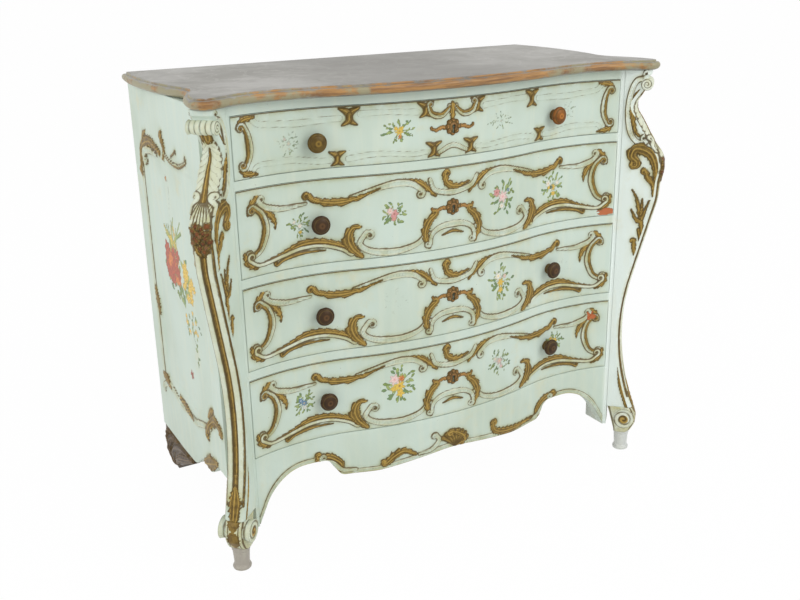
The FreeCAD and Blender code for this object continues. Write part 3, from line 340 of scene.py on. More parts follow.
class Relief:
    """Carved height and paint over a grid of flat places in millimetres."""

    def __init__(self, u, v):
        self.u, self.v = u, v
        self.height = np.zeros(u.shape)
        self.gilt = np.zeros(u.shape)
        self.light = np.zeros(u.shape)
        self.ink = np.zeros(u.shape)
        self.flower = np.zeros(u.shape + (4,))
        self.hole = np.zeros((u.shape[0] - 1, u.shape[1] - 1), bool)

    def near(self, path, reach):
        """Index of the grid places in a path's box, and the gaps from them to its points."""
        spot = np.nonzero((self.u > path[:, 0].min() - reach) & (self.u < path[:, 0].max() + reach)
                          & (self.v > path[:, 1].min() - reach) & (self.v < path[:, 1].max() + reach))
        return spot, np.stack([self.u[spot], self.v[spot]], 1)[:, None] - path[None, :, :2]

    def stroke(self, path, widths, rise, kind, lobe=12):
        """Carves along a line with half widths at its start, middle and end; a negative rise sinks it."""
        steps = np.concatenate([[0], np.cumsum(np.linalg.norm(np.diff(path[:, :2], axis=0), axis=1))])
        width = np.interp(steps / steps[-1], [0, 0.5, 1], widths) * path[:, 2]
        spot, gap = self.near(path, max(widths) * 1.3 + 3)
        if not len(spot[0]):
            return
        distance = np.sqrt((gap ** 2).sum(2))
        best = (distance / width).argmin(1)
        every = np.arange(len(best))
        heading = np.gradient(path[:, :2], axis=0)[best]
        left = heading[:, 0] * gap[every, best, 1] > heading[:, 1] * gap[every, best, 0]
        width = width[best]
        across = distance[every, best] / width * np.where(left, 1, -1)
        edge, height, gilt, ink, light = STROKES[kind](across, steps[best], width, lobe)
        inside = (edge - np.abs(across)) * width
        cover = np.clip(0.5 + inside / SOFT_EDGE, 0, 1)
        height = rise * height * (inside > 0)
        ink = ink * step_up(inside, -SOFT_EDGE, -1)
        self.height[spot] = np.maximum(self.height[spot], height) if rise > 0 else self.height[spot] + height
        self.gilt[spot] = self.gilt[spot] * (1 - cover) + gilt * cover
        self.light[spot] = self.light[spot] * (1 - cover) + light * cover
        self.ink[spot] = np.maximum(self.ink[spot] * (1 - step_up(inside, -0.5, 0.8)), ink)

    def carve(self, points, widths, rise, kind, lobe=12, start=None, end=None):
        """A stroke along the smooth line through points, with a volute at either end if one is given."""
        self.stroke(line(points, start, end), widths, rise, kind, lobe)

    def both(self, points, widths, rise, kind, lobe=12, start=None, end=None):
        """The same stroke on the right and, mirrored, on the left, where it runs back to keep its edges."""
        self.carve(points, widths, rise, kind, lobe, start, end)
        volutes = [curl and (curl[0], -curl[1]) for curl in (start, end)]
        mirrored = line([(-u, v) for u, v in points], *volutes)
        self.stroke(mirrored[::-1], widths[::-1], rise, kind, lobe)

    def dome(self, u, v, radius, rise, gilt=1, petals=0, turn=0):
        """A round boss, with petals round its edge and a painted highlight on its crown."""
        du, dv = self.u - u, self.v - v
        angle = petals * (np.arctan2(dv, du) - turn)
        reach = radius * (1 + (0.2 * np.cos(angle) if petals else 0))
        share = np.hypot(du, dv) / reach
        height = rise * np.sqrt(np.clip(1 - share ** 2, 0, 1)) * (1 - 0.35 * np.exp(-(share / 0.3) ** 2))
        cover = np.clip(0.5 + (1 - share) * radius / SOFT_EDGE, 0, 1)
        self.height = np.maximum(self.height, height)
        self.gilt = self.gilt * (1 - cover) + gilt * cover
        self.light = self.light * (1 - cover) + (1 - step_up(share, 0.1, 0.35)) * cover
        ink = np.maximum(fine_line(share, 1.05, radius) * 0.85, fine_line(share, 0.42, radius, 0.8) * 0.7)
        if petals:
            ink = np.maximum(ink, step_up(-np.cos(angle), 0.5, 1) * (share > 0.4) * (share < 1) * 0.7)
        self.ink = np.maximum(self.ink * (1 - step_up(1 - share, 0, 0.2)), ink)

    def paint(self, cover, colour):
        """Lays flat colour over the places that cover says."""
        cover = cover[..., None]
        self.flower[..., :3] = self.flower[..., :3] * (1 - cover) + np.array(colour) * cover
        self.flower[..., 3:] = np.maximum(self.flower[..., 3:], cover)

    def petals(self, u, v, radius, count, colour, heart, turn=0, strength=1):
        """A painted flower: a scalloped disc, darker between its petals, with a heart."""
        du, dv = self.u - u, self.v - v
        angle = np.arctan2(dv, du) - turn
        distance = np.hypot(du, dv)
        edge = radius * (0.8 + 0.2 * np.cos(count * angle))
        cover = step_up(edge - distance, -0.6, 0.9) * strength
        shade = 0.78 + 0.22 * np.cos(count * angle) * np.clip(distance / radius, 0, 1)
        self.paint(cover, np.array(colour) * shade[..., None])
        self.paint(step_up(radius * 0.3 - distance, -0.5, 0.7) * strength, heart)

    def leaf(self, u, v, angle, length, colour, strength=1):
        """A painted leaf: an almond along its vein."""
        along = (self.u - u) * math.cos(angle) + (self.v - v) * math.sin(angle)
        across = -(self.u - u) * math.sin(angle) + (self.v - v) * math.cos(angle)
        share = np.clip(along / length, 0, 1)
        half = length * 0.27 * np.sin(math.pi * share) ** 0.8
        cover = step_up(half - np.abs(across), -0.5, 0.7) * (along > 0) * (along < length)
        self.paint(cover * strength, np.array(colour) * (0.8 + 0.3 * share)[..., None])

    def stem(self, points, width, colour, strength=1):
        """A thin painted line."""
        spot, gap = self.near(smooth(points, 1), 3)
        if not len(spot[0]):
            return
        cover = np.zeros(self.u.shape)
        cover[spot] = step_up(width - np.sqrt((gap ** 2).sum(2)).min(1), -0.5, 0.5) * strength
        self.paint(cover, colour)

    def pierce(self, u, v, radius, drop=0, half_slot=0):
        """Leaves out the cells of a round hole and a slot below it, and moves nearby points onto the rim."""
        du, dv = self.u - u, self.v - v
        distance = np.hypot(du, dv)
        rim = np.abs(distance - radius) < 0.9
        if drop:
            rim &= dv > -half_slot
        scale = np.where(rim, radius / np.maximum(distance, 1e-6), 1)
        self.u, self.v = u + du * scale, v + dv * scale
        mid_u = (self.u[:-1, :-1] + self.u[1:, 1:]) / 2 - u
        mid_v = (self.v[:-1, :-1] + self.v[1:, 1:]) / 2 - v
        self.hole |= np.hypot(mid_u, mid_v) < radius
        self.hole |= (np.abs(mid_u) < half_slot) & (mid_v < 0) & (mid_v > -drop)

    def layers(self, cell):
        """Paint arrays: trim is gilt, light tone (cream on paint, a painted highlight on gilding), lines and
        glaze; flowers is a colour and its cover.
        """
        cavity = np.clip((blurred(self.height, CAVITY_BLUR / cell) - self.height) * 0.8, 0, 1)
        glaze = np.clip(blurred(np.maximum(self.gilt, self.ink), GLAZE_BLUR / cell) * 1.8, 0, 1)
        trim = np.stack([self.gilt, self.light, np.maximum(self.ink, cavity * 0.9), glaze], -1)
        return {"trim": trim, "flowers": self.flower}


# %% [markdown]
# ## Painted flowers
# The little sprays between the scrolls are a traditional ornament.  They could be an image laid over the
# skins, but each is grown here from a seed: a rose or daisy in the middle, smaller flowers round it, and
# leaves and fine stems that reach outwards.  The same seed always grows the same spray.

# %% Sprays
PINK, BLUSH, YELLOW = (0.72, 0.30, 0.30), (0.85, 0.62, 0.58), (0.78, 0.52, 0.06)
WHITE, BLUE, ORANGE, RED = (0.86, 0.84, 0.74), (0.10, 0.22, 0.42), (0.68, 0.19, 0.02), (0.44, 0.06, 0.015)
HEART, DARK_HEART = (0.55, 0.30, 0.04), (0.22, 0.07, 0.02)
LEAF_GREENS = ((0.20, 0.28, 0.06), (0.34, 0.42, 0.12), (0.15, 0.25, 0.09))
SPREAD = 1.3


def spray(relief, u, v, size, blooms, seed, strength=1, reach=(1, 1)):
    """Blooms is a list of (colour, heart, share of the size); leaves and stems grow round them."""
    draw = np.random.default_rng(seed)
    stretch = np.array(reach)
    size = SPREAD * size
    for turn in np.linspace(0, 2 * math.pi, 14)[:-1] + draw.uniform(0, 0.5, 13):
        way = np.array([math.cos(turn), math.sin(turn)]) * stretch
        tip = way * size * draw.uniform(0.7, 1.15)
        relief.stem([(u, v), (u + tip[0] * 0.5, v + tip[1] * 0.5 + 1), (u + tip[0], v + tip[1])], 0.8,
                    LEAF_GREENS[0], strength * 0.75)
        for share in (0.5, 0.78, 1):
            green = LEAF_GREENS[int(draw.integers(3))]
            relief.leaf(u + tip[0] * share, v + tip[1] * share, turn + draw.uniform(-1.1, 1.1),
                        size * draw.uniform(0.26, 0.42), green, strength)
    for number, (colour, heart, share) in enumerate(blooms):
        far = 0 if number == 0 else size * draw.uniform(0.4, 0.7)
        turn = number * 2.4 + draw.uniform(-0.3, 0.3)
        place = np.array([math.cos(turn), math.sin(turn)]) * stretch * far
        petals = int(draw.integers(5, 8))
        relief.petals(u + place[0], v + place[1], size * share, petals, colour, heart, turn, strength)
        relief.petals(u + place[0], v + place[1], size * share * 0.6, petals, np.array(colour) * 1.25,
                      heart, turn + 0.5, strength * 0.8)


print("flowers in seven colours, leaves in", len(LEAF_GREENS), "greens")

# %% [markdown]
# ## Materials
# Old paint is never one colour.  Each finish starts from a base tone that drifts slowly, gets a fine brush
# grain and a brown wash where carving is deep, and ends in chips that show the layer below.  An image could
# show all this, but noise in a node tree has no seams and stays sharp close up.  The trim attribute of the
# carved skins says where gilding and cream go.

# %% Node helpers
def new_material(name):
    """A material whose node tree has its shader ready; returns the material and its tree."""
    material = bpy.data.materials.new(name)
    material.use_nodes = True
    return material, material.node_tree


def node(tree, kind, inputs=None, **settings):
    """Adds a node, sets its properties, and links or sets its inputs."""
    made = tree.nodes.new(kind)
    for key, value in settings.items():
        setattr(made, key, value)
    for key, value in (inputs or {}).items():
        if isinstance(value, bpy.types.NodeSocket):
            tree.links.new(value, made.inputs[key])
        else:
            made.inputs[key].default_value = value
    return made


def noise(tree, scale, detail=4, stretch=(1, 1, 1), roughness=0.55):
    """Noise over Object coordinates, squeezed along an axis where the stretch says so."""
    place = node(tree, "ShaderNodeTexCoord").outputs["Object"]
    mapped = node(tree, "ShaderNodeMapping", {"Vector": place, "Scale": stretch}).outputs["Vector"]
    return node(tree, "ShaderNodeTexNoise", {"Vector": mapped, "Scale": scale, "Detail": detail,
                                             "Roughness": roughness}).outputs["Fac"]


def ramp(tree, value, low, high):
    """A value taken from 0 at low to 1 at high."""
    return node(tree, "ShaderNodeMapRange", {"Value": value, "From Min": low, "From Max": high},
                interpolation_type="SMOOTHSTEP").outputs["Result"]


def maths(tree, operation, a, b):
    """A sum, a product or the like of two values."""
    return node(tree, "ShaderNodeMath", {0: a, 1: b}, operation=operation).outputs[0]


def mix(tree, amount, first, second, blend="MIX"):
    """Mixes two colours."""
    made = node(tree, "ShaderNodeMix", data_type="RGBA", blend_type=blend)
    for key, value in ((0, amount), (6, first), (7, second)):
        if isinstance(value, bpy.types.NodeSocket):
            tree.links.new(value, made.inputs[key])
        else:
            made.inputs[key].default_value = value if key == 0 else (*value, 1)
    return made.outputs[2]


def shader(tree):
    """The shader that every new material comes with."""
    return tree.nodes["Principled BSDF"]


def dress(tree, colour, rough, height, strength, depth):
    """Gives the shader its colour and roughness, and a bump that a height makes over a depth in metres."""
    bump = node(tree, "ShaderNodeBump", {"Height": height, "Strength": strength, "Distance": depth})
    inputs = shader(tree).inputs
    tree.links.new(colour, inputs["Base Color"])
    inputs["Roughness"].default_value = rough
    tree.links.new(bump.outputs[0], inputs["Normal"])


# %% Paints
GREEN, GREEN_DEEP = (0.58, 0.68, 0.60), (0.52, 0.61, 0.51)
CREAM = (0.74, 0.75, 0.58)
GOLD, GOLD_DEEP = (0.235, 0.155, 0.036), (0.11, 0.068, 0.017)
UMBER, GLAZE = (0.10, 0.062, 0.015), (0.66, 0.58, 0.30)
# The second colour on the next line is painted light for the right corner, and the value after it is where
# that starts in x.
BARE_WOOD, PAINTED_LIGHT_TONE = (0.46, 0.10, 0.012), (0.93, 1.0, 0.98)
PAINTED_LIGHT_FROM = 0.422


def aged_colour(tree, base, deep):
    """Drifting tone with brush grain, yellowed patches and a few dark chips, and painted light that makes the
    paint paler past the threshold in x.
    """
    drift = ramp(tree, noise(tree, 5, 3), 0.35, 0.7)
    colour = mix(tree, drift, base, deep)
    # Painted light: past the threshold in x the right corner is mixed towards a pale tone, as if it were lit
    # more brightly.
    place = node(tree, "ShaderNodeTexCoord").outputs["Object"]
    across = node(tree, "ShaderNodeSeparateXYZ", {"Vector": place}).outputs["X"]
    corner = ramp(tree, across, PAINTED_LIGHT_FROM, PAINTED_LIGHT_FROM + 0.01)
    colour = mix(tree, maths(tree, "MULTIPLY", corner, 0.55), colour, PAINTED_LIGHT_TONE)
    grain = ramp(tree, noise(tree, 60, 3, (1, 1, 0.12)), 0.42, 0.75)
    colour = mix(tree, maths(tree, "MULTIPLY", grain, 0.2), colour, CREAM)
    stain = ramp(tree, noise(tree, 14, 6, roughness=0.7), 0.55, 0.80)
    colour = mix(tree, maths(tree, "MULTIPLY", stain, 0.40), colour, GLAZE)
    chipped = ramp(tree, noise(tree, 130, 6, roughness=0.75), 0.685, 0.71)
    return mix(tree, maths(tree, "MULTIPLY", chipped, 0.8), colour, UMBER)


def plain_paint(name, base=GREEN, deep=GREEN_DEEP):
    """Aged paint without carving, brushed up and down."""
    material, tree = new_material(name)
    dress(tree, aged_colour(tree, base, deep), 0.45, noise(tree, 90, 4, (1, 1, 0.2)), 0.25, 0.0012)
    return material


def ragged(tree, field, scale, spread, low, high):
    """A soft field cut to a crisp edge that wanders with fine noise."""
    wander = maths(tree, "MULTIPLY", maths(tree, "SUBTRACT", noise(tree, scale, 4), 0.5), spread)
    return ramp(tree, maths(tree, "ADD", field, wander), low, high)


def carved_paint(name, gold=GOLD, deep_gold=GOLD_DEEP):
    """Green paint with cream, gilding with a painted highlight, umber lines and flowers laid on where the
    attributes say.
    """
    material, tree = new_material(name)
    trim = node(tree, "ShaderNodeAttribute", attribute_name="trim")
    gilt, light, ink = node(tree, "ShaderNodeSeparateColor", {"Color": trim.outputs["Color"]}).outputs
    glaze = trim.outputs["Alpha"]
    colour = aged_colour(tree, GREEN, GREEN_DEEP)
    colour = mix(tree, maths(tree, "MULTIPLY", ragged(tree, light, 60, 0.3, 0.3, 0.7), 0.5), colour, CREAM)
    cloudy = maths(tree, "MULTIPLY", glaze, ramp(tree, noise(tree, 35, 5, roughness=0.7), 0.30, 0.62))
    colour = mix(tree, maths(tree, "MULTIPLY", cloudy, 0.85), colour, GLAZE, "MULTIPLY")
    metal_leaf = mix(tree, ramp(tree, noise(tree, 70, 6, roughness=0.7), 0.32, 0.62), deep_gold, gold)
    # Painted highlight: where the light tone lies on gilding, the gold turns towards a gold twice as bright.
    bright = tuple(2 * share for share in gold)
    wear_and_highlight = maths(tree, "MULTIPLY", ragged(tree, light, 90, 0.5, 0.3, 0.7), 0.8)
    metal_leaf = mix(tree, wear_and_highlight, metal_leaf, bright)
    gilding = ragged(tree, gilt, 110, 0.5, 0.44, 0.56)
    colour = mix(tree, gilding, colour, metal_leaf)
    lines = maths(tree, "MULTIPLY", ragged(tree, ink, 80, 0.5, 0.30, 0.75), 0.92)
    colour = mix(tree, lines, colour, UMBER)
    flowers = node(tree, "ShaderNodeAttribute", attribute_name="flowers")
    cover = ragged(tree, flowers.outputs["Alpha"], 140, 0.4, 0.25, 0.6)
    colour = mix(tree, maths(tree, "MULTIPLY", cover, 0.92), colour, flowers.outputs["Color"])
    dress(tree, colour, 0.42, noise(tree, 110, 5), 0.3, 0.001)
    shader(tree).inputs["Specular IOR Level"].default_value = 0.25
    tree.links.new(maths(tree, "MULTIPLY", gilding, 0.2), shader(tree).inputs["Metallic"])
    return material


def wood(name, light, dark, scale=9, stretch=(0.12, 1, 1), rough=0.6):
    """Grain as noise drawn out along one axis, with finer pores over it."""
    material, tree = new_material(name)
    stripes = ramp(tree, noise(tree, scale, 6, stretch, 0.65), 0.35, 0.66)
    pores = ramp(tree, noise(tree, scale * 9, 3, stretch), 0.58, 0.72)
    shade = tuple(c * 0.45 for c in dark)
    colour = mix(tree, maths(tree, "MULTIPLY", pores, 0.35), mix(tree, stripes, dark, light), shade)
    dress(tree, colour, rough, pores, 0.2, 0.0006)
    return material


def metal(name, base, dark, rough=0.42):
    """Old metal: a tone that clouds between base and dark."""
    material, tree = new_material(name)
    tone = ramp(tree, noise(tree, 55, 5, roughness=0.7), 0.38, 0.62)
    dress(tree, mix(tree, tone, dark, base), rough, noise(tree, 200, 3), 0.2, 0.0004)
    shader(tree).inputs["Metallic"].default_value = 0.85
    return material


PAINT = plain_paint("aged_green_paint")
CARVED = carved_paint("carved_green_paint")
RAW = wood("raw_wood", (0.50, 0.34, 0.19), (0.33, 0.20, 0.10))
RAW_UPRIGHT = wood("raw_wood_upright", (0.42, 0.29, 0.17), (0.27, 0.17, 0.09), stretch=(1, 1, 0.1))
KNOB_WOOD = carved_paint("dark_knob_wood", (0.056, 0.028, 0.010), (0.035, 0.018, 0.007))
KNOB_GOLD = carved_paint("gilded_knob", (0.135, 0.085, 0.016), (0.075, 0.045, 0.009))
KNOB_COPPER = carved_paint("copper_knob", (0.24, 0.09, 0.016), (0.13, 0.045, 0.009))
OLD_BRASS = metal("old_brass", (0.30, 0.18, 0.07), (0.10, 0.05, 0.02))
ROSETTE = carved_paint("gilded_rosette", (0.26, 0.14, 0.042), (0.12, 0.06, 0.02))
IRON = metal("lock_iron", (0.16, 0.15, 0.14), (0.07, 0.055, 0.045), 0.55)
print("materials ready")

# %% [markdown]
# ## Finish of the plain boards
# The posts, rails, drawer boxes and runners are flat work that a carver leaves alone, so they keep their
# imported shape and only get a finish.  Each node's slot in the record says which one.  The upright boards at
# the back have a darker wood with its grain upright.

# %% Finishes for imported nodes
SLOT_FINISH = {"green_paint": PAINT, "raw_wood": RAW, "lock_iron": IRON, "old_brass": OLD_BRASS,
               "knob_wood": KNOB_WOOD, "faux_marble": PAINT}
UPRIGHT_BOARDS = ("back_panel", "left_back_post", "right_back_post")
node_slot = {entry["node"]: entry["material_slot"] for entry in frame["record"]["subparts"]}
for label, piece in nodes.items():
    finish = RAW_UPRIGHT if label in UPRIGHT_BOARDS else SLOT_FINISH[node_slot[label]]
    piece.data.materials.clear()
    piece.data.materials.append(finish)
print(len(nodes), "packed nodes have a finish")

# %% [markdown]
# ## The serpentine face
# The fronts follow one line in plan: a bow in the middle and a hollow each side, three arcs that touch.  A
# Curve modifier could bend flat fronts along it, but the formula of the solids also gives the face's normal at
# every point, and so places each carved skin a little proud of the board that carries it.

# %% Serpentine
def face(x):
    """Depth of the face at an x, and its slope, from the arc that holds at that place."""
    dip_centre = DIP_DEPTH - DIP_RADIUS
    bow_centre = dip_centre + math.sqrt((BOW_RADIUS + DIP_RADIUS) ** 2 - DIP_PLACE ** 2)
    middle = np.abs(x) < DIP_PLACE * BOW_RADIUS / (BOW_RADIUS + DIP_RADIUS)
    from_dip = np.abs(x) - DIP_PLACE
    bow_rise = np.sqrt(BOW_RADIUS ** 2 - np.where(middle, x, 0) ** 2)
    dip_rise = np.sqrt(DIP_RADIUS ** 2 - np.where(middle, 0, from_dip) ** 2)
    depth = np.where(middle, bow_centre - bow_rise, dip_centre + dip_rise)
    slope = np.where(middle, x / bow_rise, -np.sign(x) * from_dip / dip_rise)
    return depth, slope


def on_front(x, z, out):
    """Points a distance out of the serpentine face, along its normal (slope, -1)."""
    depth, slope = face(x)
    length = np.sqrt(1 + slope ** 2)
    return np.stack([x + out * slope / length, FRONT + depth - out / length, z], -1)


def even(low, high, cell, lip=1.2):
    """Even places between two ends, with close ones at the ends for a rounded lip."""
    middle = np.linspace(low + lip, high - lip, int((high - low - 2 * lip) / cell) + 1)
    return np.concatenate([[low, low + lip * 0.35], middle, [high - lip * 0.35, high]])


def lip_share(u, v, u_ends, v_ends, lip=1.2):
    """1 inside a sheet, falling as a quarter circle to 0 at its ends."""
    nearest = np.minimum(np.minimum(u - u_ends[0], u_ends[1] - u), np.minimum(v - v_ends[0], v_ends[1] - v))
    share = np.clip(nearest / lip, 0, 1)
    return np.sqrt(1 - (1 - share) ** 2)


print("depths of the face at x 0, 150, 310 and 428 mm:", face(np.array([0, 150, 310, 428]))[0].round(1))

# %% [markdown]
# ## Carved drawer fronts
# The three deep drawers share one frame of scrolls, drawn once for the right half and mirrored, as a carver
# pricks one pattern through for both halves.  What crosses the middle is drawn apart.  The shallow top drawer
# has thin double lines between small clasps.

# %% Ornament of the deep drawers
def deep_frame(relief):
    """Scroll frame of a deep drawer, in millimetres from the middle of its front."""
    relief.both([(386, 64), (398, 52), (406, 34)], (4, 6.5, 2), 2.6, "leaf", 10)
    relief.both([(376, 40), (363, 30), (353, 14), (352, 0)], (2, 7, 1), 2.6, "leaf", 13)
    relief.both([(381, 52), (366, 42), (335, 35), (290, 38)], (3, 6, 3), 2.6, "band", start=(7, 1))
    relief.both([(392, 46), (377, 30), (371, 2), (383, -30), (402, -44)], (3.4, 7.5, 3.4), 3.2, "gilt_band",
                start=(8, -1), end=(8, 1))
    relief.both([(418, -36), (411, -54), (394, -66)], (4, 8, 3), 2.8, "leaf", 10)
    relief.both([(104, 66), (74, 58), (54, 43), (38, 28)], (1.5, 7.5, 3), 2.8, "leaf", 18)
    relief.both([(205, 42), (165, 52), (122, 60), (89, 57), (66, 42)], (3, 7, 3), 2.8, "band", end=(8, 1))
    relief.both([(284, 54), (272, 42), (236, 34), (197, 38), (150, 54)], (3, 8.6, 1), 3.4, "leaf", 30,
                start=(6, -1))
    relief.both([(400, -64), (345, -52), (302, -38), (262, -38), (222, -50), (200, -64)], (2, 8.5, 5), 2.8,
                "leaf", 27)
    relief.both([(408, -50), (386, -61), (341, -53), (305, -45), (263, -45), (226, -56), (208, -68)],
                (3.2, 3.8, 3.2), 3.4, "cord", start=(8, 1), end=(4, -1))
    relief.both([(352, -68), (336, -60), (300, -54), (256, -55)], (2, 3.2, 1), 2.6, "gilt_cord",
                start=(4, 1))
    relief.both([(188, -16), (204, -18), (212, -36), (205, -56), (188, -74)], (3, 12, 5), 3.2, "leaf", 17)
    relief.both([(180, -30), (190, -50), (168, -66), (122, -71), (80, -62), (58, -44)], (3.2, 7, 3.2), 3,
                "band", start=(9, 1), end=(7, 1))
    relief.both([(38, -8), (54, -22), (62, -46), (52, -72)], (3, 10, 4), 3.2, "leaf", 15, start=(5, -1))
    relief.carve([(-50, -66), (-46, -47), (-27, -35), (0, -32), (27, -35), (46, -47), (50, -66)],
                 (3, 6.5, 3), 2.8, "band", start=(6, -1), end=(6, -1))
    relief.carve([(-24, -52), (0, -46), (24, -52)], (1, 3, 1), 2.4, "gilt_cord")
    relief.carve([(-50, 60), (-41, 40), (-16, 32), (12, 32), (42, 40), (56, 58)], (4, 6, 4), 2.6, "band")
    relief.carve([(-18, 66), (-12, 50), (8, 42), (38, 48)], (3.5, 8, 1.5), 3, "leaf", 15, start=(6, -1))


# %% Ornament of the shallow drawer
def clasp(relief, u, v, size):
    """Two gilt leaves splayed upwards and two downwards from a waist."""
    for side in (1, -1):
        for hand in (1, -1):
            for shape, widths in ((((0, -0.25), (0.2, 0.5), (1.1, 0.95)), (0.3, 0.36, 0.1)),
                                  (((0, 0.25), (0.14, -0.5), (0.85, -0.95)), (0.26, 0.28, 0.08))):
                points = [(side * u + hand * size * across, v + size * rise) for across, rise in shape]
                relief.carve(points, [size * share for share in widths], 3.4, "gilt_cord")


def shallow_frame(relief):
    """Plain bands between clasps on the top drawer, in millimetres from the middle of its front."""
    relief.both([(384, 44), (372, 36), (340, 33), (300, 30), (255, 32), (220, 33)], (5.5, 6, 6), 1.2,
                "plain_band")
    relief.both([(182, 39), (134, 39), (74, 35)], (6, 5, 6), 1.2, "plain_band")
    relief.both([(392, -50), (380, -36), (350, -34), (310, -34), (262, -41), (240, -41)], (4, 6, 6), 1.2,
                "plain_band")
    relief.both([(206, -41), (165, -36), (134, -37), (82, -42), (56, -40)], (6, 5, 5), 1.2, "plain_band")
    for u, v, size in ((202, 35, 16), (226, -39, 13), (57, 38, 14), (41, -37, 14)):
        clasp(relief, u, v, size)
    for rise in (1, -1):
        relief.both([(414, 34 * rise), (404, 46 * rise), (380, 50 * rise)], (4, 7, 2), 2.4, "leaf", 10)
    relief.both([(402, 36), (396, 22), (393, 2), (394, -16), (402, -34)], (3.2, 7, 3.2), 3, "gilt_band",
                start=(7, -1), end=(7, 1))
    relief.carve([(-52, 44), (-44, 29), (-24, 25), (-6, 38)], (3, 6, 3), 2.8, "gilt_band", start=(5, -1),
                 end=(3, 1))
    relief.carve([(6, 38), (24, 25), (44, 29), (52, 44)], (3, 6, 3), 2.8, "gilt_band", start=(3, -1),
                 end=(5, 1))
    relief.carve([(0, 46), (0, 34), (0, 14)], (4, 7, 3), 3.4, "leaf", 9)
    relief.carve([(-30, -44), (0, -33), (30, -44)], (4, 5, 4), 1.4, "band")


# %% Flowers of each drawer
# Sprays stand beside the knobs and on each side of the lock, and every drawer has its own colours.  The values
# are those that spray() takes: place across and up from the middle of the front, size, blooms, seed, strength
# and reach.
DRAWER_SPRAYS = {
    1: [(-316, -4, 15, [(WHITE, HEART, 0.3), (BLUSH, HEART, 0.22), (WHITE, HEART, 0.2)], 11, 0.45),
        (-110, 2, 16, [(YELLOW, DARK_HEART, 0.42), (YELLOW, HEART, 0.25), (ORANGE, DARK_HEART, 0.2),
                       (YELLOW, HEART, 0.2)], 12, 0.9, (1.4, 0.8)),
        (116, 0, 14, [(BLUSH, HEART, 0.12)], 13, 0.5, (1.5, 0.7)),
        (306, -2, 12, [(WHITE, HEART, 0.2)], 14, 0.45)],
    2: [(-303, -2, 15, [(WHITE, HEART, 0.3), (WHITE, HEART, 0.24), (YELLOW, HEART, 0.2)], 21, 0.8),
        (-123, 2, 17, [(PINK, DARK_HEART, 0.42), (BLUSH, HEART, 0.35), (PINK, HEART, 0.28)], 22, 0.9),
        (124, 3, 22, [(BLUSH, PINK, 0.46), (PINK, DARK_HEART, 0.34), (WHITE, HEART, 0.26),
                      (BLUE, YELLOW, 0.14)], 23, 0.9),
        (272, -2, 19, [(YELLOW, DARK_HEART, 0.3), (WHITE, HEART, 0.34), (YELLOW, HEART, 0.26),
                       (WHITE, HEART, 0.24), (YELLOW, HEART, 0.2)], 24, 0.95)],
    3: [(-124, 6, 17, [(WHITE, HEART, 0.2), (YELLOW, HEART, 0.12)], 31, 0.3),
        (122, 2, 22, [(YELLOW, HEART, 0.34), (WHITE, YELLOW, 0.36), (YELLOW, HEART, 0.26),
                      (BLUSH, HEART, 0.2)], 32, 0.85, (0.9, 1.15)),
        (306, -4, 12, [(WHITE, HEART, 0.16)], 33, 0.3)],
    4: [(-314, 2, 16, [(BLUE, YELLOW, 0.34), (BLUE, WHITE, 0.28), (WHITE, BLUE, 0.24)], 41, 0.85),
        (-120, 5, 24, [(YELLOW, DARK_HEART, 0.40), (BLUSH, PINK, 0.40), (YELLOW, HEART, 0.30),
                       (ORANGE, DARK_HEART, 0.24), (YELLOW, HEART, 0.22)], 42, 1, (0.85, 1.2)),
        (122, 6, 19, [(BLUSH, HEART, 0.40), (WHITE, HEART, 0.3), (BLUSH, PINK, 0.26)], 43, 0.6),
        (292, 6, 15, [(YELLOW, HEART, 0.42), (YELLOW, DARK_HEART, 0.3)], 44, 0.9)]}
print("sprays on each front:", [len(sprays) for sprays in DRAWER_SPRAYS.values()])

# %% [markdown]
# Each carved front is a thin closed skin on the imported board.  A bump in the paint would do from afar, but a
# skin with real depth casts its own shadows and shows against the light.  Its keyhole goes right through, and
# so does the empty hole of the knob that the second drawer has lost.

# %% Carved skins on the drawers
# This cell keeps a deep front under 200,000 triangles.
CELL = 1.71
SIDE_GAP = 1.6
CHIP_DEPTH = 0.5
KNOB_RISE = {1: -5.5, 2: -2, 3: -1, 4: 0.5}
KNOB_PLACE = 267
KEYHOLE_RISE = 2


def chip(relief, u, v, width, height, seed):
    """A patch where the paint is gone down to the orange ground, with a ragged edge."""
    draw = np.random.default_rng(seed)
    angle = np.arctan2((relief.v - v) / height, (relief.u - u) / width)
    ragged = 1 + sum(draw.uniform(0.05, 0.2) * np.sin(k * angle + draw.uniform(0, 6)) for k in range(2, 8))
    share = np.hypot((relief.u - u) / width, (relief.v - v) / height) / ragged
    cover = step_up(1 - share, -0.05, 0.12)
    relief.gilt *= 1 - cover
    relief.light *= 1 - cover
    relief.ink *= 1 - cover
    relief.height -= cover * CHIP_DEPTH
    relief.paint(cover, BARE_WOOD)


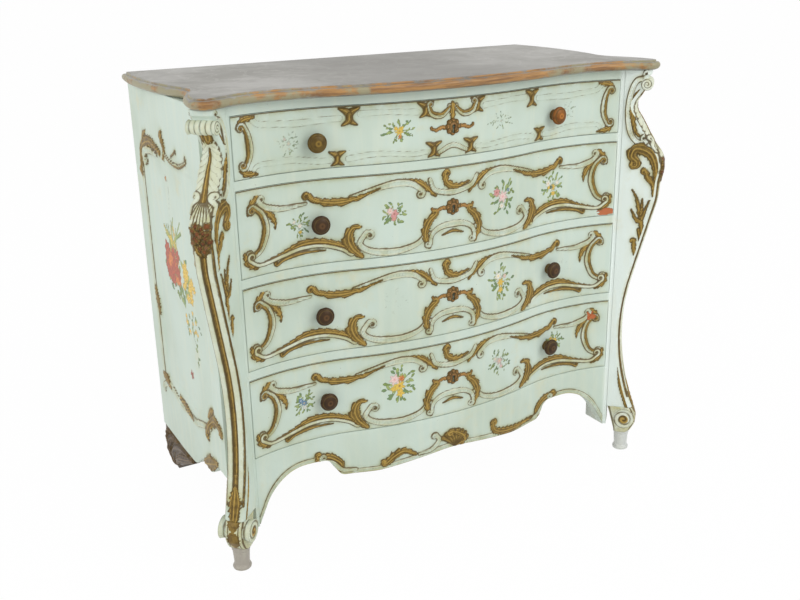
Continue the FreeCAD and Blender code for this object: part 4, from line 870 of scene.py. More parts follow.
def drawer_skin(number):
    """Grid over the drawer front, carved and painted, laid on the serpentine face."""
    low, high = span(f"drawer_{number}_front", 2)
    half = HALF_OPENING - SIDE_GAP
    middle = (low + high) / 2
    u_ends, v_ends = (-half, half), (low + INSET - middle, high - INSET - middle)
    u, v = np.meshgrid(even(*u_ends, CELL), even(*v_ends, CELL), indexing="ij")
    relief = Relief(u, v)
    if number == 1:
        shallow_frame(relief)
    else:
        deep_frame(relief)
    relief.height = blurred(relief.height, 0.35)
    for values in DRAWER_SPRAYS[number]:
        spray(relief, *values)
    if number == 2:
        chip(relief, 412, -72, width=26, height=7, seed=5)
        relief.pierce(KNOB_PLACE, KNOB_RISE[2], 4)
    if number == 4:
        chip(relief, 386, 48, width=10, height=10, seed=6)
    relief.pierce(0, KEYHOLE_RISE, 4.4, drop=13, half_slot=3)
    share = lip_share(u, v, u_ends, v_ends)
    # Painted shade: a dark strip along the top edge of the front and a fainter one along its bottom edge stand
    # for the shadow in the gaps.
    upper_painted_shade = step_up(v, v_ends[1] - 3.2, v_ends[1] - 1.2)
    lower_painted_shade = 0.5 * step_up(-v, -v_ends[0] - 2.6, -v_ends[0])
    relief.ink = np.maximum(relief.ink, np.maximum(upper_painted_shade, lower_painted_shade))
    place_z = relief.v + middle
    front = on_front(relief.u, place_z, (SKIN + relief.height) * share)
    back = on_front(relief.u, place_z, np.full(u.shape, -TUCK))
    return sheet_piece(f"drawer_{number}_carving", front, back, ~relief.hole, f"drawer_{number}", CARVED,
                       relief.layers(CELL))


for number in DRAWERS:
    carving = drawer_skin(number)
    print(carving.name, "has", len(carving.data.polygons), "faces")

# %% [markdown]
# ## Knobs
# The knobs are turned: a profile of radius against height, swept round its axis.  A modifier could sweep it
# too, but here each ring also gets its own paint.  The two on the top drawer were gilded once, the others are
# dark wood.

# %% Knobs
def frame_axes(axis):
    """The axis as a unit vector, and two unit vectors square to it."""
    axis = np.array(axis, float) / np.linalg.norm(axis)
    first = np.cross((0, 1, 0) if abs(axis[2]) > 0.9 else (0, 0, 1), axis)
    first /= np.linalg.norm(first)
    return axis, first, np.cross(axis, first)


AROUND = 72


def turned(name, profile, base, axis, body, material, paint=None):
    """Surface of revolution: base + axis * height + radius * (cos, sin)."""
    axis, first, second = frame_axes(axis)
    profile = np.array(profile, float)
    angle = np.linspace(0, 2 * math.pi, AROUND, endpoint=False)
    ring = np.cos(angle)[:, None] * first + np.sin(angle)[:, None] * second
    rings = np.array(base) + profile[:, 1, None, None] * axis + profile[:, 0, None, None] * ring[None]
    return tube_piece(name, rings, body, material, paint)


def only_trim(trim):
    """Paint arrays for a piece without flowers."""
    return {"trim": trim, "flowers": np.zeros(trim.shape)}


KNOB_PROFILE = smooth([(0.5, -17.5), (3.9, -17.5), (3.9, -0.4), (10.6, -0.1), (10.9, 1.6), (8.8, 4), (7.9, 7),
                       (8.8, 9.6), (13.2, 11.6), (16.9, 13.8), (18, 16.8), (17.3, 19.4), (15.4, 20.9),
                       (14, 21.2), (12.9, 22.4), (8.5, 24.2), (4, 24.9), (0.5, 25)], 0.7)


def knob_paint():
    """Gold all over, with a painted highlight near the middle of the top, dark in the groove round it and
    under the rim.
    """
    radius, height = KNOB_PROFILE.T
    on_top = height > 19
    ink = np.maximum(fine_line(radius, 13.6, 1, 1.3) * on_top, step_up(18.5 - height, 0, 4))
    light = 0.7 * np.exp(-((radius - 4) / 3) ** 2) * on_top
    trim = np.stack([np.ones(ink.shape), light, 0.7 * ink, np.zeros(ink.shape)], 1)
    return only_trim(np.repeat(trim[:, None], AROUND, axis=1))


def knob(number, side, material):
    """A knob on the face of a drawer, square to it, with its stem in the board."""
    depth, slope = (float(value) for value in face(np.array(side * KNOB_PLACE)))
    low, high = span(f"drawer_{number}_front", 2)
    place = (side * KNOB_PLACE, FRONT + depth, (low + high) / 2 + KNOB_RISE[number])
    return turned(f"drawer_{number}_{SIDE_WORD[side]}_knob", KNOB_PROFILE, place, (slope, -1, 0),
                  f"drawer_{number}", material, knob_paint())


for number in DRAWERS:
    left_finish, right_finish = (KNOB_GOLD, KNOB_COPPER) if number == 1 else (KNOB_WOOD, KNOB_WOOD)
    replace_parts(knob(number, -1, left_finish), f"drawer_{number}_knobs")
    if number != 2:
        knob(number, 1, right_finish)
print("seven knobs,", round(2 * KNOB_PROFILE[:, 0].max(), 1), "mm across")

# %% [markdown]
# ## Escutcheons
# A carved rosette with a wing on each side holds the keyhole.  It is drawn with the same strokes as the
# frames, on a finer grid, and every cell without carving is left out, which gives the outline without a
# second drawing.

# %% Escutcheons
ROSETTE_CELL = 0.8


def escutcheon(number):
    """Rosette and wings on the bow of the drawer front."""
    low, high = span(f"drawer_{number}_front", 2)
    u, v = np.meshgrid(np.arange(-50, 50.1, ROSETTE_CELL), np.arange(-17, 17.1, ROSETTE_CELL), indexing="ij")
    relief = Relief(u, v)
    for side in (-1, 1):
        wing = [(side * 14, -1), (side * 24, 0), (side * 36, -4), (side * 46, -1)]
        relief.carve(wing, (5, 4, 2.2), 3, "leaf", 9, end=(2, side))
    relief.dome(0, 0, 15, 4)
    for turn in np.linspace(0, 2 * math.pi, 9)[:-1]:
        relief.dome(11.5 * math.cos(turn), 11.5 * math.sin(turn), 5, 5)
    relief.dome(0, 0, 8.4, 6)
    relief.height = blurred(relief.height, 0.6)
    relief.pierce(0, 0, 3.9, drop=12.5, half_slot=2.5)
    corner = relief.height
    carved = (corner[:-1, :-1] + corner[1:, 1:] + corner[1:, :-1] + corner[:-1, 1:]) / 4 > 0.5
    z = relief.v + (low + high) / 2 + KEYHOLE_RISE
    front = on_front(relief.u, z, relief.height + SKIN)
    back = on_front(relief.u, z, np.full(u.shape, -0.1))
    return sheet_piece(f"drawer_{number}_rosette", front, back, carved & ~relief.hole, f"drawer_{number}",
                       ROSETTE, relief.layers(ROSETTE_CELL))


for number in DRAWERS:
    rosette = escutcheon(number)
    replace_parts(rosette, f"drawer_{number}_escutcheon")
    print(rosette.name, "has", len(rosette.data.polygons), "faces")

# %% [markdown]
# ## Apron
# The apron is the board below the lowest drawer, sawn to scrolls.  Its skin runs from that sawn edge, which
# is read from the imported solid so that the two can't part, up to the drawer.  The rows of the grid are
# stretched between the two.  A bead follows the sawn edge, with leaves above it and a shell in the middle.

# %% Apron
def edge_heights(node_name, top, axis):
    """Lower edge of a board: the heights of its lowest points along an axis."""
    count = len(nodes[node_name].data.vertices)
    points = np.empty(count * 3, np.float32)
    nodes[node_name].data.vertices.foreach_get("co", points)
    points = points.reshape(-1, 3).astype(float) / MM
    low = points[points[:, 2] < top]
    places = np.round(low[:, axis], 1)
    order = np.unique(places)
    heights = np.array([low[places == place, 2].min() for place in order])
    return order, heights


APRON_CELL, APRON_ROWS = 1.9, 62


def apron_skin():
    """Grid between the scrolled edge and the bottom rail's upper edge, laid on the serpentine face."""
    low, high = span("front_apron", 2)
    top = span("bottom_rail", 2)[1] - INSET
    places, heights = edge_heights("front_apron", high - 1, 0)
    half = HALF_OPENING - 0.2
    across = even(-half, half, APRON_CELL)
    u, share = np.meshgrid(across, even(0, 1, 1 / APRON_ROWS, 0.012), indexing="ij")
    floor = np.interp(u, places, heights)
    v = floor + share * (top - floor)
    relief = Relief(u, v)
    bead = np.stack([across, np.interp(across, places, heights) + 5.5, np.ones(len(across))], 1)
    relief.stroke(bead, (5.2, 5.2, 5.2), 3.2, "band")
    relief.both([(290, 168), (266, 165), (243, 146), (250, 132)], (6, 10, 6), 4.6, "leaf", 13, start=(5, 1))
    relief.both([(282, 160), (262, 152), (240, 132), (214, 128)], (4, 6, 4), 4, "band", start=(7, 1))
    relief.carve([(-152, 131), (-132, 146), (-112, 152), (-88, 140)], (6, 10, 4), 4.4, "leaf", 12,
                 start=(4, -1))
    relief.carve([(104, 156), (112, 140), (140, 130), (180, 128), (226, 132)], (6, 9, 3), 4.4, "leaf", 13,
                 start=(6, -1))
    relief.carve([(-80, 138), (-52, 142), (-34, 158), (-40, 172)], (3, 5.5, 4), 4, "band", end=(5, 1))
    for turn in np.linspace(-0.9, 1.3, 8):
        tip = (2 + 34 * math.sin(turn), 142 + 30 * math.cos(turn))
        rib = line([(4, 137), ((4 + tip[0]) / 2 + 3, (137 + tip[1]) / 2), tip])
        relief.stroke(rib, (2, 4.2, 4.6), 5.2, "gilt_cord")
    relief.carve([(-6, 172), (12, 166), (28, 150), (18, 130)], (4.5, 7, 4), 5, "leaf", 11, start=(5, 1))
    relief.height = blurred(relief.height, 0.35)
    rim = lip_share(u, share * 60, (-half, half), (0, 60))
    front = on_front(u, v, (SKIN + relief.height) * rim)
    back = on_front(u, v, np.full(u.shape, -TUCK))
    sheet_piece("apron_carving", front, back, ~relief.hole, "case", CARVED,
                relief.layers(APRON_CELL))
    print("apron skin from", round(floor.min(), 1), "to", round(top, 1), "mm")


apron_skin()

# %% [markdown]
# ## Side panels
# Each side has a sunk field between carved scrolls, a bead near the back and a large bouquet.  The side is
# flat, so its skin needs no bending: u runs back from the front line, v is the height, and the relief goes
# straight out.  The left side and the right side are the same drawing.

# %% Side panels
FIELD_LOW, FIELD_HIGH, FIELD_FRONT, FIELD_BACK, FIELD_DEPTH = 240, 768, 48, 392, 3.2


def bouquet(relief):
    """Grass and red flowers towards the back, yellow ones towards the front and trailing down."""
    draw = np.random.default_rng(64)
    for step in range(22):
        foot, tip = (draw.uniform(215, 270), 552), (draw.uniform(180, 305), draw.uniform(596, 644))
        relief.stem([foot, (foot[0] + 0.3 * (tip[0] - foot[0]), 590), tip], 2,
                    (YELLOW, LEAF_GREENS[1], LEAF_GREENS[0])[step % 3], 0.9)
    groups = ((LEAF_GREENS, (226, 528), (76, 46), (13, 24), 56), ((RED,), (272, 540), (40, 36), (12, 20), 22),
              ((ORANGE, RED), (238, 546), (42, 34), (10, 17), 14),
              ((YELLOW,), (166, 524), (38, 36), (8, 14), 20),
              (LEAF_GREENS, (158, 436), (46, 30), (9, 15), 18), ((YELLOW,), (158, 446), (44, 26), (5, 8), 10))
    for tones, middle, spread, sizes, count in groups:
        for step in range(count):
            turn, far = draw.uniform(0, 2 * math.pi), math.sqrt(draw.uniform(0, 1))
            u, v = middle[0] + spread[0] * far * math.cos(turn), middle[1] + spread[1] * far * math.sin(turn)
            size, tone = draw.uniform(*sizes), tones[step % len(tones)]
            if tones == LEAF_GREENS:
                relief.leaf(u, v, draw.uniform(0, 6.3), size, tone, 1)
            else:
                relief.petals(u, v, size, int(draw.integers(5, 8)), tone, DARK_HEART, turn, 1)
                relief.petals(u, v, size * 0.55, 5, np.array(tone) * 1.5, DARK_HEART, turn + 0.5, 0.9)


SIDE_CELL, SIDE_ROWS, SIDE_START = 2.7, 268, 14.5


def side_skin(side):
    """Grid over a side panel, from behind the pilaster to the back and from the sawn edge to the top."""
    node_name = f"{SIDE_WORD[side]}_side_panel"
    places, heights = edge_heights(node_name, 200, 1)
    ends = (SIDE_START, CASE_DEPTH - INSET)
    u, share = np.meshgrid(even(*ends, SIDE_CELL), even(0, 1, 1 / SIDE_ROWS, 0.003), indexing="ij")
    floor = np.interp(u + FRONT, places, heights)
    v = floor + share * (UNDER_TOP - INSET - floor)
    relief = Relief(u, v)
    relief.carve([(397, 738), (397, 500), (397, 250)], (9, 9, 9), 3, "band")
    relief.carve([(404, 706), (392, 752), (352, 772), (312, 776), (262, 764)], (9, 16, 7), 4, "leaf", 20,
                 start=(6, 1))
    relief.carve([(380, 736), (372, 752), (330, 758), (284, 756)], (5, 8, 4), 4.4, "band", start=(7, -1))
    relief.carve([(386, 764), (372, 784), (352, 794)], (5, 8, 3), 2.6, "leaf", 10)
    relief.carve([(246, 796), (230, 778), (240, 756)], (7, 11, 5), 3.8, "leaf", 10, start=(6, 1))
    relief.carve([(234, 768), (200, 758), (150, 756), (100, 770)], (4, 4.4, 2.6), 2, "gilt_band",
                 end=(6, -1))
    relief.carve([(190, 768), (172, 776), (160, 784)], (1.8, 2.2, 1.6), 2, "gilt_cord", end=(4, 1))
    relief.carve([(395, 456), (388, 432), (380, 400)], (7, 13, 3), 3, "leaf", 11)
    relief.carve([(412, 222), (384, 236), (340, 240), (296, 228), (240, 230), (190, 226), (140, 240),
                  (92, 252)], (6, 9, 6), 3.4, "band", start=(6, -1))
    relief.carve([(404, 252), (380, 250), (352, 236)], (9, 13, 5), 3.6, "leaf", 12)
    relief.carve([(290, 242), (250, 236), (200, 226)], (5, 10, 4), 3, "leaf", 12)
    relief.carve([(118, 232), (92, 262), (60, 280), (30, 276)], (7, 14, 6), 4, "leaf", 14, start=(7, -1),
                 end=(8, 1))
    relief.carve([(110, 268), (88, 290), (70, 296)], (5, 9, 3), 3, "leaf", 12)
    relief.carve([(150, 150), (112, 166), (66, 186)], (10, 22, 6), 4, "leaf", 16)
    relief.height = blurred(relief.height, 0.3)
    bouquet(relief)
    relief.stem([(244, 720), (240, 690), (250, 640), (230, 600)], 0.8, (0.40, 0.38, 0.22), 0.6)
    relief.petals(252, 716, 8, 5, ORANGE, YELLOW, 0, 0.6)
    relief.stem([(160, 420), (142, 394), (146, 360)], 1, LEAF_GREENS[0], 0.9)
    for step, turn in enumerate((2.4, 0.8, 2.8, 0.3)):
        relief.leaf(148 - 3 * step, 402 - 12 * step, turn, 13, LEAF_GREENS[step % 3], 0.9)
    relief.petals(196, 326, 11, 5, RED, DARK_HEART, 0, 0.9)
    across, up = np.minimum(u - FIELD_FRONT, FIELD_BACK - u), np.minimum(v - FIELD_LOW, FIELD_HIGH - v)
    sunk = -FIELD_DEPTH * step_up(np.minimum(across, up), 14, 26)
    rim = lip_share(u, share * 500, ends, (0, 500))
    out = (SKIN + relief.height) * rim + sunk
    front = np.stack([side * (SIDE_FACE + out), u + FRONT, v], -1)
    back = np.stack([side * (SIDE_FACE - TUCK + sunk), u + FRONT, v], -1)
    piece = sheet_piece(f"{SIDE_WORD[side]}_side_carving", front, back, ~relief.hole, "case", CARVED,
                        relief.layers(SIDE_CELL))
    print(piece.name, "has", len(piece.data.polygons), "faces")


for side in (-1, 1):
    side_skin(side)

# %% [markdown]
# ## Console pilasters
# A pilaster is one long S seen from the side.  It could be a curve with a bevel, but its section grows deeper
# towards the knee.  So slices across it at many heights carry the section: two flat sides, rounded corners
# and a front.  The sides and the front are carved as flat drawings and pushed outwards.

# %% Pilasters
PILASTER_FRONT = ((33, 880, 0), (33, 850, 15), (2, 806, 28), (86, 688, 60), (-18, 275, 520), (42, 112, 0))
HALF_WIDTH = 20
SEAT = -14.5
CORNER_ROUND = 9
PILASTER_FOOT = 112.3
CAP_STEP, KNEE_BACK = 6.5, 8.3
PILASTER_SKIN = 0.4
NOWHERE = 500


def rounded(corners):
    """Points along straight runs joined by tangent arcs; a corner is (u, v, radius)."""
    places = np.array([corner[:2] for corner in corners], float)
    points = [places[0]]
    for before, corner, after, radius in zip(places, places[1:], places[2:], [c[2] for c in corners[1:-1]]):
        into = (corner - before) / np.linalg.norm(corner - before)
        out = (after - corner) / np.linalg.norm(after - corner)
        turn = into[0] * out[1] - into[1] * out[0]
        bend = math.acos(float(np.clip(into @ out, -1, 1)))
        reach = radius * math.tan(bend / 2)
        normal = np.array([-into[1], into[0]]) * np.sign(turn)
        centre = corner - into * reach + normal * radius
        for share in np.linspace(0, 1, 24):
            angle = bend * share * np.sign(turn)
            spoke = -normal * radius
            points.append(centre + np.array([spoke[0] * math.cos(angle) - spoke[1] * math.sin(angle),
                                             spoke[0] * math.sin(angle) + spoke[1] * math.cos(angle)]))
    points.append(places[-1])
    return np.array(points)


def diagonal(side, out, across, z):
    """Points from distances out of the corner and across the pilaster's middle plane."""
    x = CORNER + (out + across) / math.sqrt(2)
    return np.stack([side * x, FRONT + (across - out) / math.sqrt(2), z], -1)


def pilaster_side_carving(relief):
    """C-scroll, big curl and sprays on a pilaster's flat side; u is out from the corner, v is height."""
    relief.carve([(30, 862), (10, 858), (-1, 830), (-4, 790), (2, 752), (16, 732), (30, 729)],
                 (4.5, 6, 4.5), 4.6, "band", start=(9, 1), end=(9, 1))
    relief.carve([(24, 842), (9, 826), (5, 790), (12, 756), (20, 744)], (3, 6, 3), 2.6, "leaf", 13)
    relief.carve([(40, 830), (24, 836), (14, 822)], (3, 5, 3), 3, "leaf", 8)
    relief.carve([(18, 690), (8, 700), (15, 716), (34, 714), (50, 702), (60, 676), (62, 636)], (6, 14, 4),
                 5, "leaf", 24, start=(8, -1))
    relief.carve([(66, 700), (72, 690), (70, 668)], (4, 6, 3), 3.4, "leaf", 10)
    relief.carve([(40, 668), (44, 656), (56, 640), (58, 616)], (4.5, 7, 3), 3.6, "leaf", 12, start=(5, 1))
    for tip, width in (((14, 627), 5.5), ((36, 608), 5), ((51, 606), 4), ((14, 584), 5.5)):
        blade = line([(38, 530), (36, 556), ((36 + tip[0]) / 2, tip[1] - 22), tip])
        relief.stroke(blade, (3, width, 1.6), 3.4, "leaf", 14)
    relief.carve([(24, 514), (25, 496), (33, 470), (26, 440)], (4, 6, 2), 3, "leaf", 12, start=(4, 1))
    relief.carve([(32, 540), (38, 500), (30, 440), (16, 380)], (3.4, 3, 1.4), 2, "gilt_cord")
    relief.carve([(6, 230), (14, 170), (32, 118)], (2, 5, 7), 2.6, "leaf", 16)


def pilaster_front_carving(relief):
    """Acanthus, shell, flowers, twin beads and groove down a pilaster's front; u is across, v is height."""
    relief.carve([(0, 826), (0, 770), (0, 716)], (12, 24, 18), 4.6, "feather", 10.5)
    relief.carve([(0, 812), (0, 770), (0, 716)], (1.2, 3.6, 6.5), 6, "gilt_cord")
    relief.carve([(0, 846), (0, 836), (0, 822)], (10, 12, 2), 4, "leaf", 9)
    for rib in np.linspace(-2.5, 2.5, 6):
        relief.carve([(rib * 2.7, 728), (rib * 4.8, 714), (rib * 6.6, 690)], (1.5, 2.8, 3.8), 5.4, "cord")
    for side in (-1, 1):
        relief.carve([(side * 20, 712), (side * 20, 724), (side * 12, 734)], (3, 4.5, 3.5), 6, "cord",
                     end=(6, -side))
        relief.carve([(side * 11, 652), (side * 11, 400), (side * 11, 150)], (5.5, 5.5, 5.5), 2.6, "cord")
        relief.carve([(side * 17.5, 690), (side * 18, 400), (side * 17, 140)], (1.7, 1.5, 1.3), 1.2,
                     "gilt_cord")
        relief.carve([(side * 3, 640), (side * 9, 652), (side * 12, 664)], (3, 5, 2), 3, "leaf", 8)
    draw = np.random.default_rng(8)
    tones = ((0.30, 0.10, 0.03), (0.20, 0.06, 0.02), (0.36, 0.19, 0.09))
    cluster = ((-12, -3, 8), (-15, -6, 5, 14), (-11, 0, 11), (-14, -5, 6, 13), (-8, 3), (-3,))
    for row, places in enumerate(cluster):
        for place in places:
            u, v = place + draw.uniform(-2, 2), 692 - 8.5 * row + draw.uniform(-3, 3)
            relief.dome(u, v, draw.uniform(4.5, 6.5), 5, 1, 5, draw.uniform(0, 6))
            radius, tone = draw.uniform(4, 5.5), tones[int(draw.integers(3))]
            relief.petals(u, v, radius, 5, tone, DARK_HEART, draw.uniform(0, 6), 0.7)
    relief.carve([(0, 636), (0, 400), (0, 160)], (4.5, 4.5, 4.5), -2.6, "gilt_cord")
    relief.carve([(0, 176), (0, 140), (0, 116)], (4, 14, 10), 4, "leaf", 10)


def pilaster_section(front):
    """One ring at each height, from the seat along one side, round the front and back along the other.

    It gives three grids: the distance out of the corner, the distance across, and the place across the front
    when the rounded corners are rolled flat, which has no number on the sides.
    """
    reach = HALF_WIDTH - CORNER_ROUND
    half = []
    for share in np.linspace(0, 1, 44):
        half.append((SEAT + share * (front - CORNER_ROUND - SEAT), -HALF_WIDTH, np.nan))
    for angle in np.linspace(0, math.pi / 2, 8)[1:-1]:
        half.append((front - CORNER_ROUND * (1 - math.sin(angle)), -reach - CORNER_ROUND * math.cos(angle),
                     -reach - CORNER_ROUND * (math.pi / 2 - angle)))
    middle = [(front, place * reach, place * reach) for place in np.linspace(-1, 1, 26)]
    other_half = [(out, -across, -developed) for out, across, developed in half[::-1]]
    columns = half + middle + other_half
    return [np.stack([np.broadcast_to(column[k], front.shape) for column in columns], 1) for k in range(3)]


def pilaster(side):
    """Section rings from the foot up to the underside of the top, pushed out by the carving."""
    profile = rounded(PILASTER_FRONT)[::-1]
    z = np.linspace(PILASTER_FOOT, UNDER_TOP - INSET, 430)
    front = np.interp(z, profile[:, 1], profile[:, 0]) + CAP_STEP * step_up(z, 866, 872)
    # The carving stands highest over the knee, so the front goes back there and the knee keeps its size.
    front -= KNEE_BACK * step_up(z, 600, 660) * step_up(-z, -790, -720)
    out, across, developed = pilaster_section(front)
    height = np.repeat(z[:, None], out.shape[1], axis=1)
    on_side = np.isnan(developed)
    flank = Relief(np.where(on_side, out, -NOWHERE), height)
    pilaster_side_carving(flank)
    brow = Relief(np.where(on_side, NOWHERE, developed), height)
    pilaster_front_carving(brow)
    push = np.where(on_side, flank.height, brow.height) + PILASTER_SKIN
    lean = np.clip(np.abs(across) - (HALF_WIDTH - CORNER_ROUND), 0, CORNER_ROUND) / CORNER_ROUND
    out_way = np.where(on_side, 0, np.sqrt(1 - lean ** 2 * 0.98))
    across_way = np.where(on_side, 1, lean) * np.sign(across)
    rings = diagonal(side, out + push * out_way, across + push * across_way, height)
    side_paint, front_paint = flank.layers(1.8), brow.layers(1.6)
    paint = {label: np.where(on_side[..., None], side_paint[label], front_paint[label])
             for label in side_paint}
    return tube_piece(f"{SIDE_WORD[side]}_pilaster_carved", rings, "case", CARVED, paint)


SPIRAL_TURNS, SPIRAL_DEPTH = 2.2, 1.8


def scroll_roll(name, side, out, z, radius, width, ribs, gilt_eyes=False):
    """A roll across a pilaster: a ribbed barrel whose ends are spirals cut into discs."""
    around, rings, trim = 64, [], []
    angle = np.linspace(0, 2 * math.pi, around, endpoint=False)
    stations = [(-width / 2, share, True) for share in np.linspace(0.12, 1, 12)]
    stations += [(share * width / 2, 1, False) for share in np.linspace(-1, 1, 28)[1:-1]]
    stations += [(width / 2, share, True) for share in np.linspace(1, 0.12, 12)]
    for across, share, is_end in stations:
        if is_end:
            spiral = 0.5 + 0.5 * np.cos(angle * np.sign(across) + 2 * math.pi * share * SPIRAL_TURNS)
            place = across + np.sign(across) * SPIRAL_DEPTH * (spiral * 0.9 + 0.6 * (1 - share))
            reach = np.full(around, radius * share)
            hollow = 1 - spiral
        else:
            rib = 0.5 + 0.5 * np.cos(2 * math.pi * ribs * across / width)
            place = np.full(around, across)
            swell = 1 + 0.05 * np.cos(math.pi * across / width * 2)
            reach = np.full(around, radius * swell * (1 - 0.07 * rib))
            hollow = np.full(around, rib ** 3)
        eye = np.full(around, float(gilt_eyes and is_end and share < 0.5))
        rings.append(diagonal(side, out + reach * np.cos(angle), place, z + reach * np.sin(angle)))
        # The light tone on the ribs and spiral ridges is cream on paint and a painted highlight on the gilded
        # eyes.
        trim.append(np.stack([eye, 0.8 * (1 - hollow), hollow * 0.66, 0.4 + 0.4 * hollow], -1))
    return tube_piece(name, np.array(rings), "case", CARVED, only_trim(np.array(trim)))


for side in (-1, 1):
    carved = pilaster(side)
    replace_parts(carved, f"{SIDE_WORD[side]}_corner_pilaster")
    scroll_roll(f"{SIDE_WORD[side]}_head_roll", side, out=31, z=851, radius=12.5, width=50, ribs=5)
    print(carved.name, "has", len(carved.data.polygons), "faces")

# %% [markdown]
# ## Feet
# A front foot is a thick scroll against a small block with a ribbed front, over a turned peg.  The scroll is
# the head roll again, wider and with gilded eyes.  The block is a stack of rounded squares whose toe and heel
# change with height, because its curve belongs to no turning.  A back foot is a carved bracket, dark with old
# glaze.

# %% Feet
PEG_PLACE = 20.5
PEG = plain_paint("worn_peg_paint", (0.36, 0.33, 0.28), (0.17, 0.13, 0.09))
DARK_CARVED = carved_paint("dark_carved_foot", gold=(0.10, 0.065, 0.032), deep_gold=(0.035, 0.02, 0.012))
BLOCK_LOW, BLOCK_HIGH, BLOCK_RINGS = 49, 112, 28
BLOCK_HALF_WIDTH, RIB_PITCH, RIB_RISE = 21, 7, 1.8
BACK_FOOT_THICKNESS = 65.5


def front_foot(side):
    """Scroll, block and peg; a ring of the block is a circle's sine and cosine squared off by a root."""
    word = SIDE_WORD[side]
    roll = scroll_roll(f"{word}_foot_scroll", side, out=25.5, z=87, radius=22.5, width=62, ribs=3,
                       gilt_eyes=True)
    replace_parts(roll, f"{word}_front_foot")
    angle = np.linspace(0, 2 * math.pi, AROUND, endpoint=False)
    squared = np.abs(np.cos(angle)) ** 0.5 * np.sign(np.cos(angle))
    across = np.abs(np.sin(angle)) ** 0.5 * np.sign(np.sin(angle)) * BLOCK_HALF_WIDTH
    rings, trim = [], []
    for z in np.linspace(BLOCK_LOW, BLOCK_HIGH, BLOCK_RINGS):
        toe = np.interp(z, (49, 54, 70, 90, 104, 112), (34, 40, 49, 50.5, 46, 41.5))
        heel = np.interp(z, (49, 52, 112), (3, 2.4, SEAT))
        ribs = 0.5 + 0.5 * np.cos(2 * math.pi * across / RIB_PITCH)
        ribbed = RIB_RISE * ribs * (np.cos(angle) > 0.4)
        rings.append(diagonal(side, (toe + heel) / 2 + (toe - heel) / 2 * squared + ribbed, across,
                              np.full(angle.shape, z)))
        reach = 5 + 11 * abs(math.sin(math.pi * (z - 56) / 38)) * (0.8 + 0.2 * math.cos(z * 0.9))
        shade = step_up(reach - np.abs(across), -1, 1) * (np.cos(angle) > 0)
        trim.append(np.stack([shade, 1 - shade, (1 - ribs) * 0.8, np.full(angle.shape, 0.9)], -1))
    paint = only_trim(np.array(trim))
    tube_piece(f"{word}_foot_block", np.array(rings), "case", CARVED, paint)
    base = diagonal(side, np.array(PEG_PLACE), np.array(0.0), np.array(INSET))
    profile = smooth([(0.5, 0), (15.5, 0), (17.6, 2), (18, 5), (15.8, 9), (15, 14), (15.6, 26), (16.4, 38),
                      (16, 40), (17.8, 42), (17.8, 48), (16, 51), (0.5, 51)], 1)
    peg = turned(f"{word}_foot_peg", profile, base, (0, 0, 1), "case", PEG)
    print(peg.name, "is", round(2 * profile[:, 0].max(), 1), "mm thick")


def back_foot(side):
    """Bracket between a front edge and a back edge that both depend on height; carved on its outer face."""
    word = SIDE_WORD[side]
    v, share = np.meshgrid(even(0.1, 111.8, 1.6), even(0, 1, 0.0125, 0.01), indexing="ij")
    fore = np.interp(v, (0, 8, 16, 30, 102, 112), (-27, -33, -44, -72, -211, -214))
    rear = np.interp(v, (0, 14, 30, 44, 58, 80, 112), (-5.4, -5, -2.5, 1.5, 4, 3, 0))
    u = fore + share * (rear - fore)
    relief = Relief(u, v)
    relief.carve([(-200, 104), (-150, 84), (-104, 66), (-70, 44), (-48, 22)], (5, 12, 6), 7, "leaf", 20,
                 start=(5, -1))
    relief.carve([(-170, 102), (-120, 96), (-70, 76), (-36, 40), (-26, 12)], (3, 7, 4), 6, "gilt_cord")
    relief.carve([(-100, 104), (-60, 98), (-28, 74), (-16, 40), (-14, 10)], (5, 14, 6), 8, "leaf", 16)
    relief.carve([(-50, 106), (-20, 100), (-8, 76)], (4, 8, 4), 7, "leaf", 12, end=(5, -1))
    # The gold of DARK_CARVED is a dark brown, and the whole foot has it.
    relief.gilt[:] = 1
    outer = SIDE_FACE - 1 - 15 * np.clip(1 - v / 55, 0, 1)
    rim = lip_share(u - fore, v, (0, 1e3), (0.1, 400), 3)
    front = np.stack([side * (outer + (relief.height - 1.5) * rim), u + FRONT + CASE_DEPTH, v], -1)
    inner = side * (SIDE_FACE - BACK_FOOT_THICKNESS)
    back = np.stack([np.full(u.shape, inner), u + FRONT + CASE_DEPTH, v], -1)
    piece = sheet_piece(f"{word}_back_foot_carved", front, back, ~relief.hole, "case", DARK_CARVED,
                        relief.layers(1.6))
    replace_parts(piece, f"{word}_back_foot")
    print(piece.name, "has", len(piece.data.polygons), "faces")


for side in (-1, 1):
    front_foot(side)
    back_foot(side)

# %% [markdown]
# ## Top
# The edge of the top is a moulding carried round the outline: a profile of (inset, height) pairs is laid
# square to the outline at each of its points.  A Bevel modifier could round the edge, but the pairs say just
# where each hollow and fillet lies.  The outline is a chain of arcs that touch, as a maker's template is.

# %% Outline of the top
TOP_BACK = CASE_DEPTH + 8
TOP_BOW, TOP_OVERHANG, TOP_HOLLOW, TOP_SMALL_HOLLOW, HOLLOW_FRONT = 1000, 54, 420, 190, 10
EAR, EAR_FLANK, EAR_SIDE = 27, 200, 503
NOTCH, TOP_SIDE = (472, 105), (499, 330)


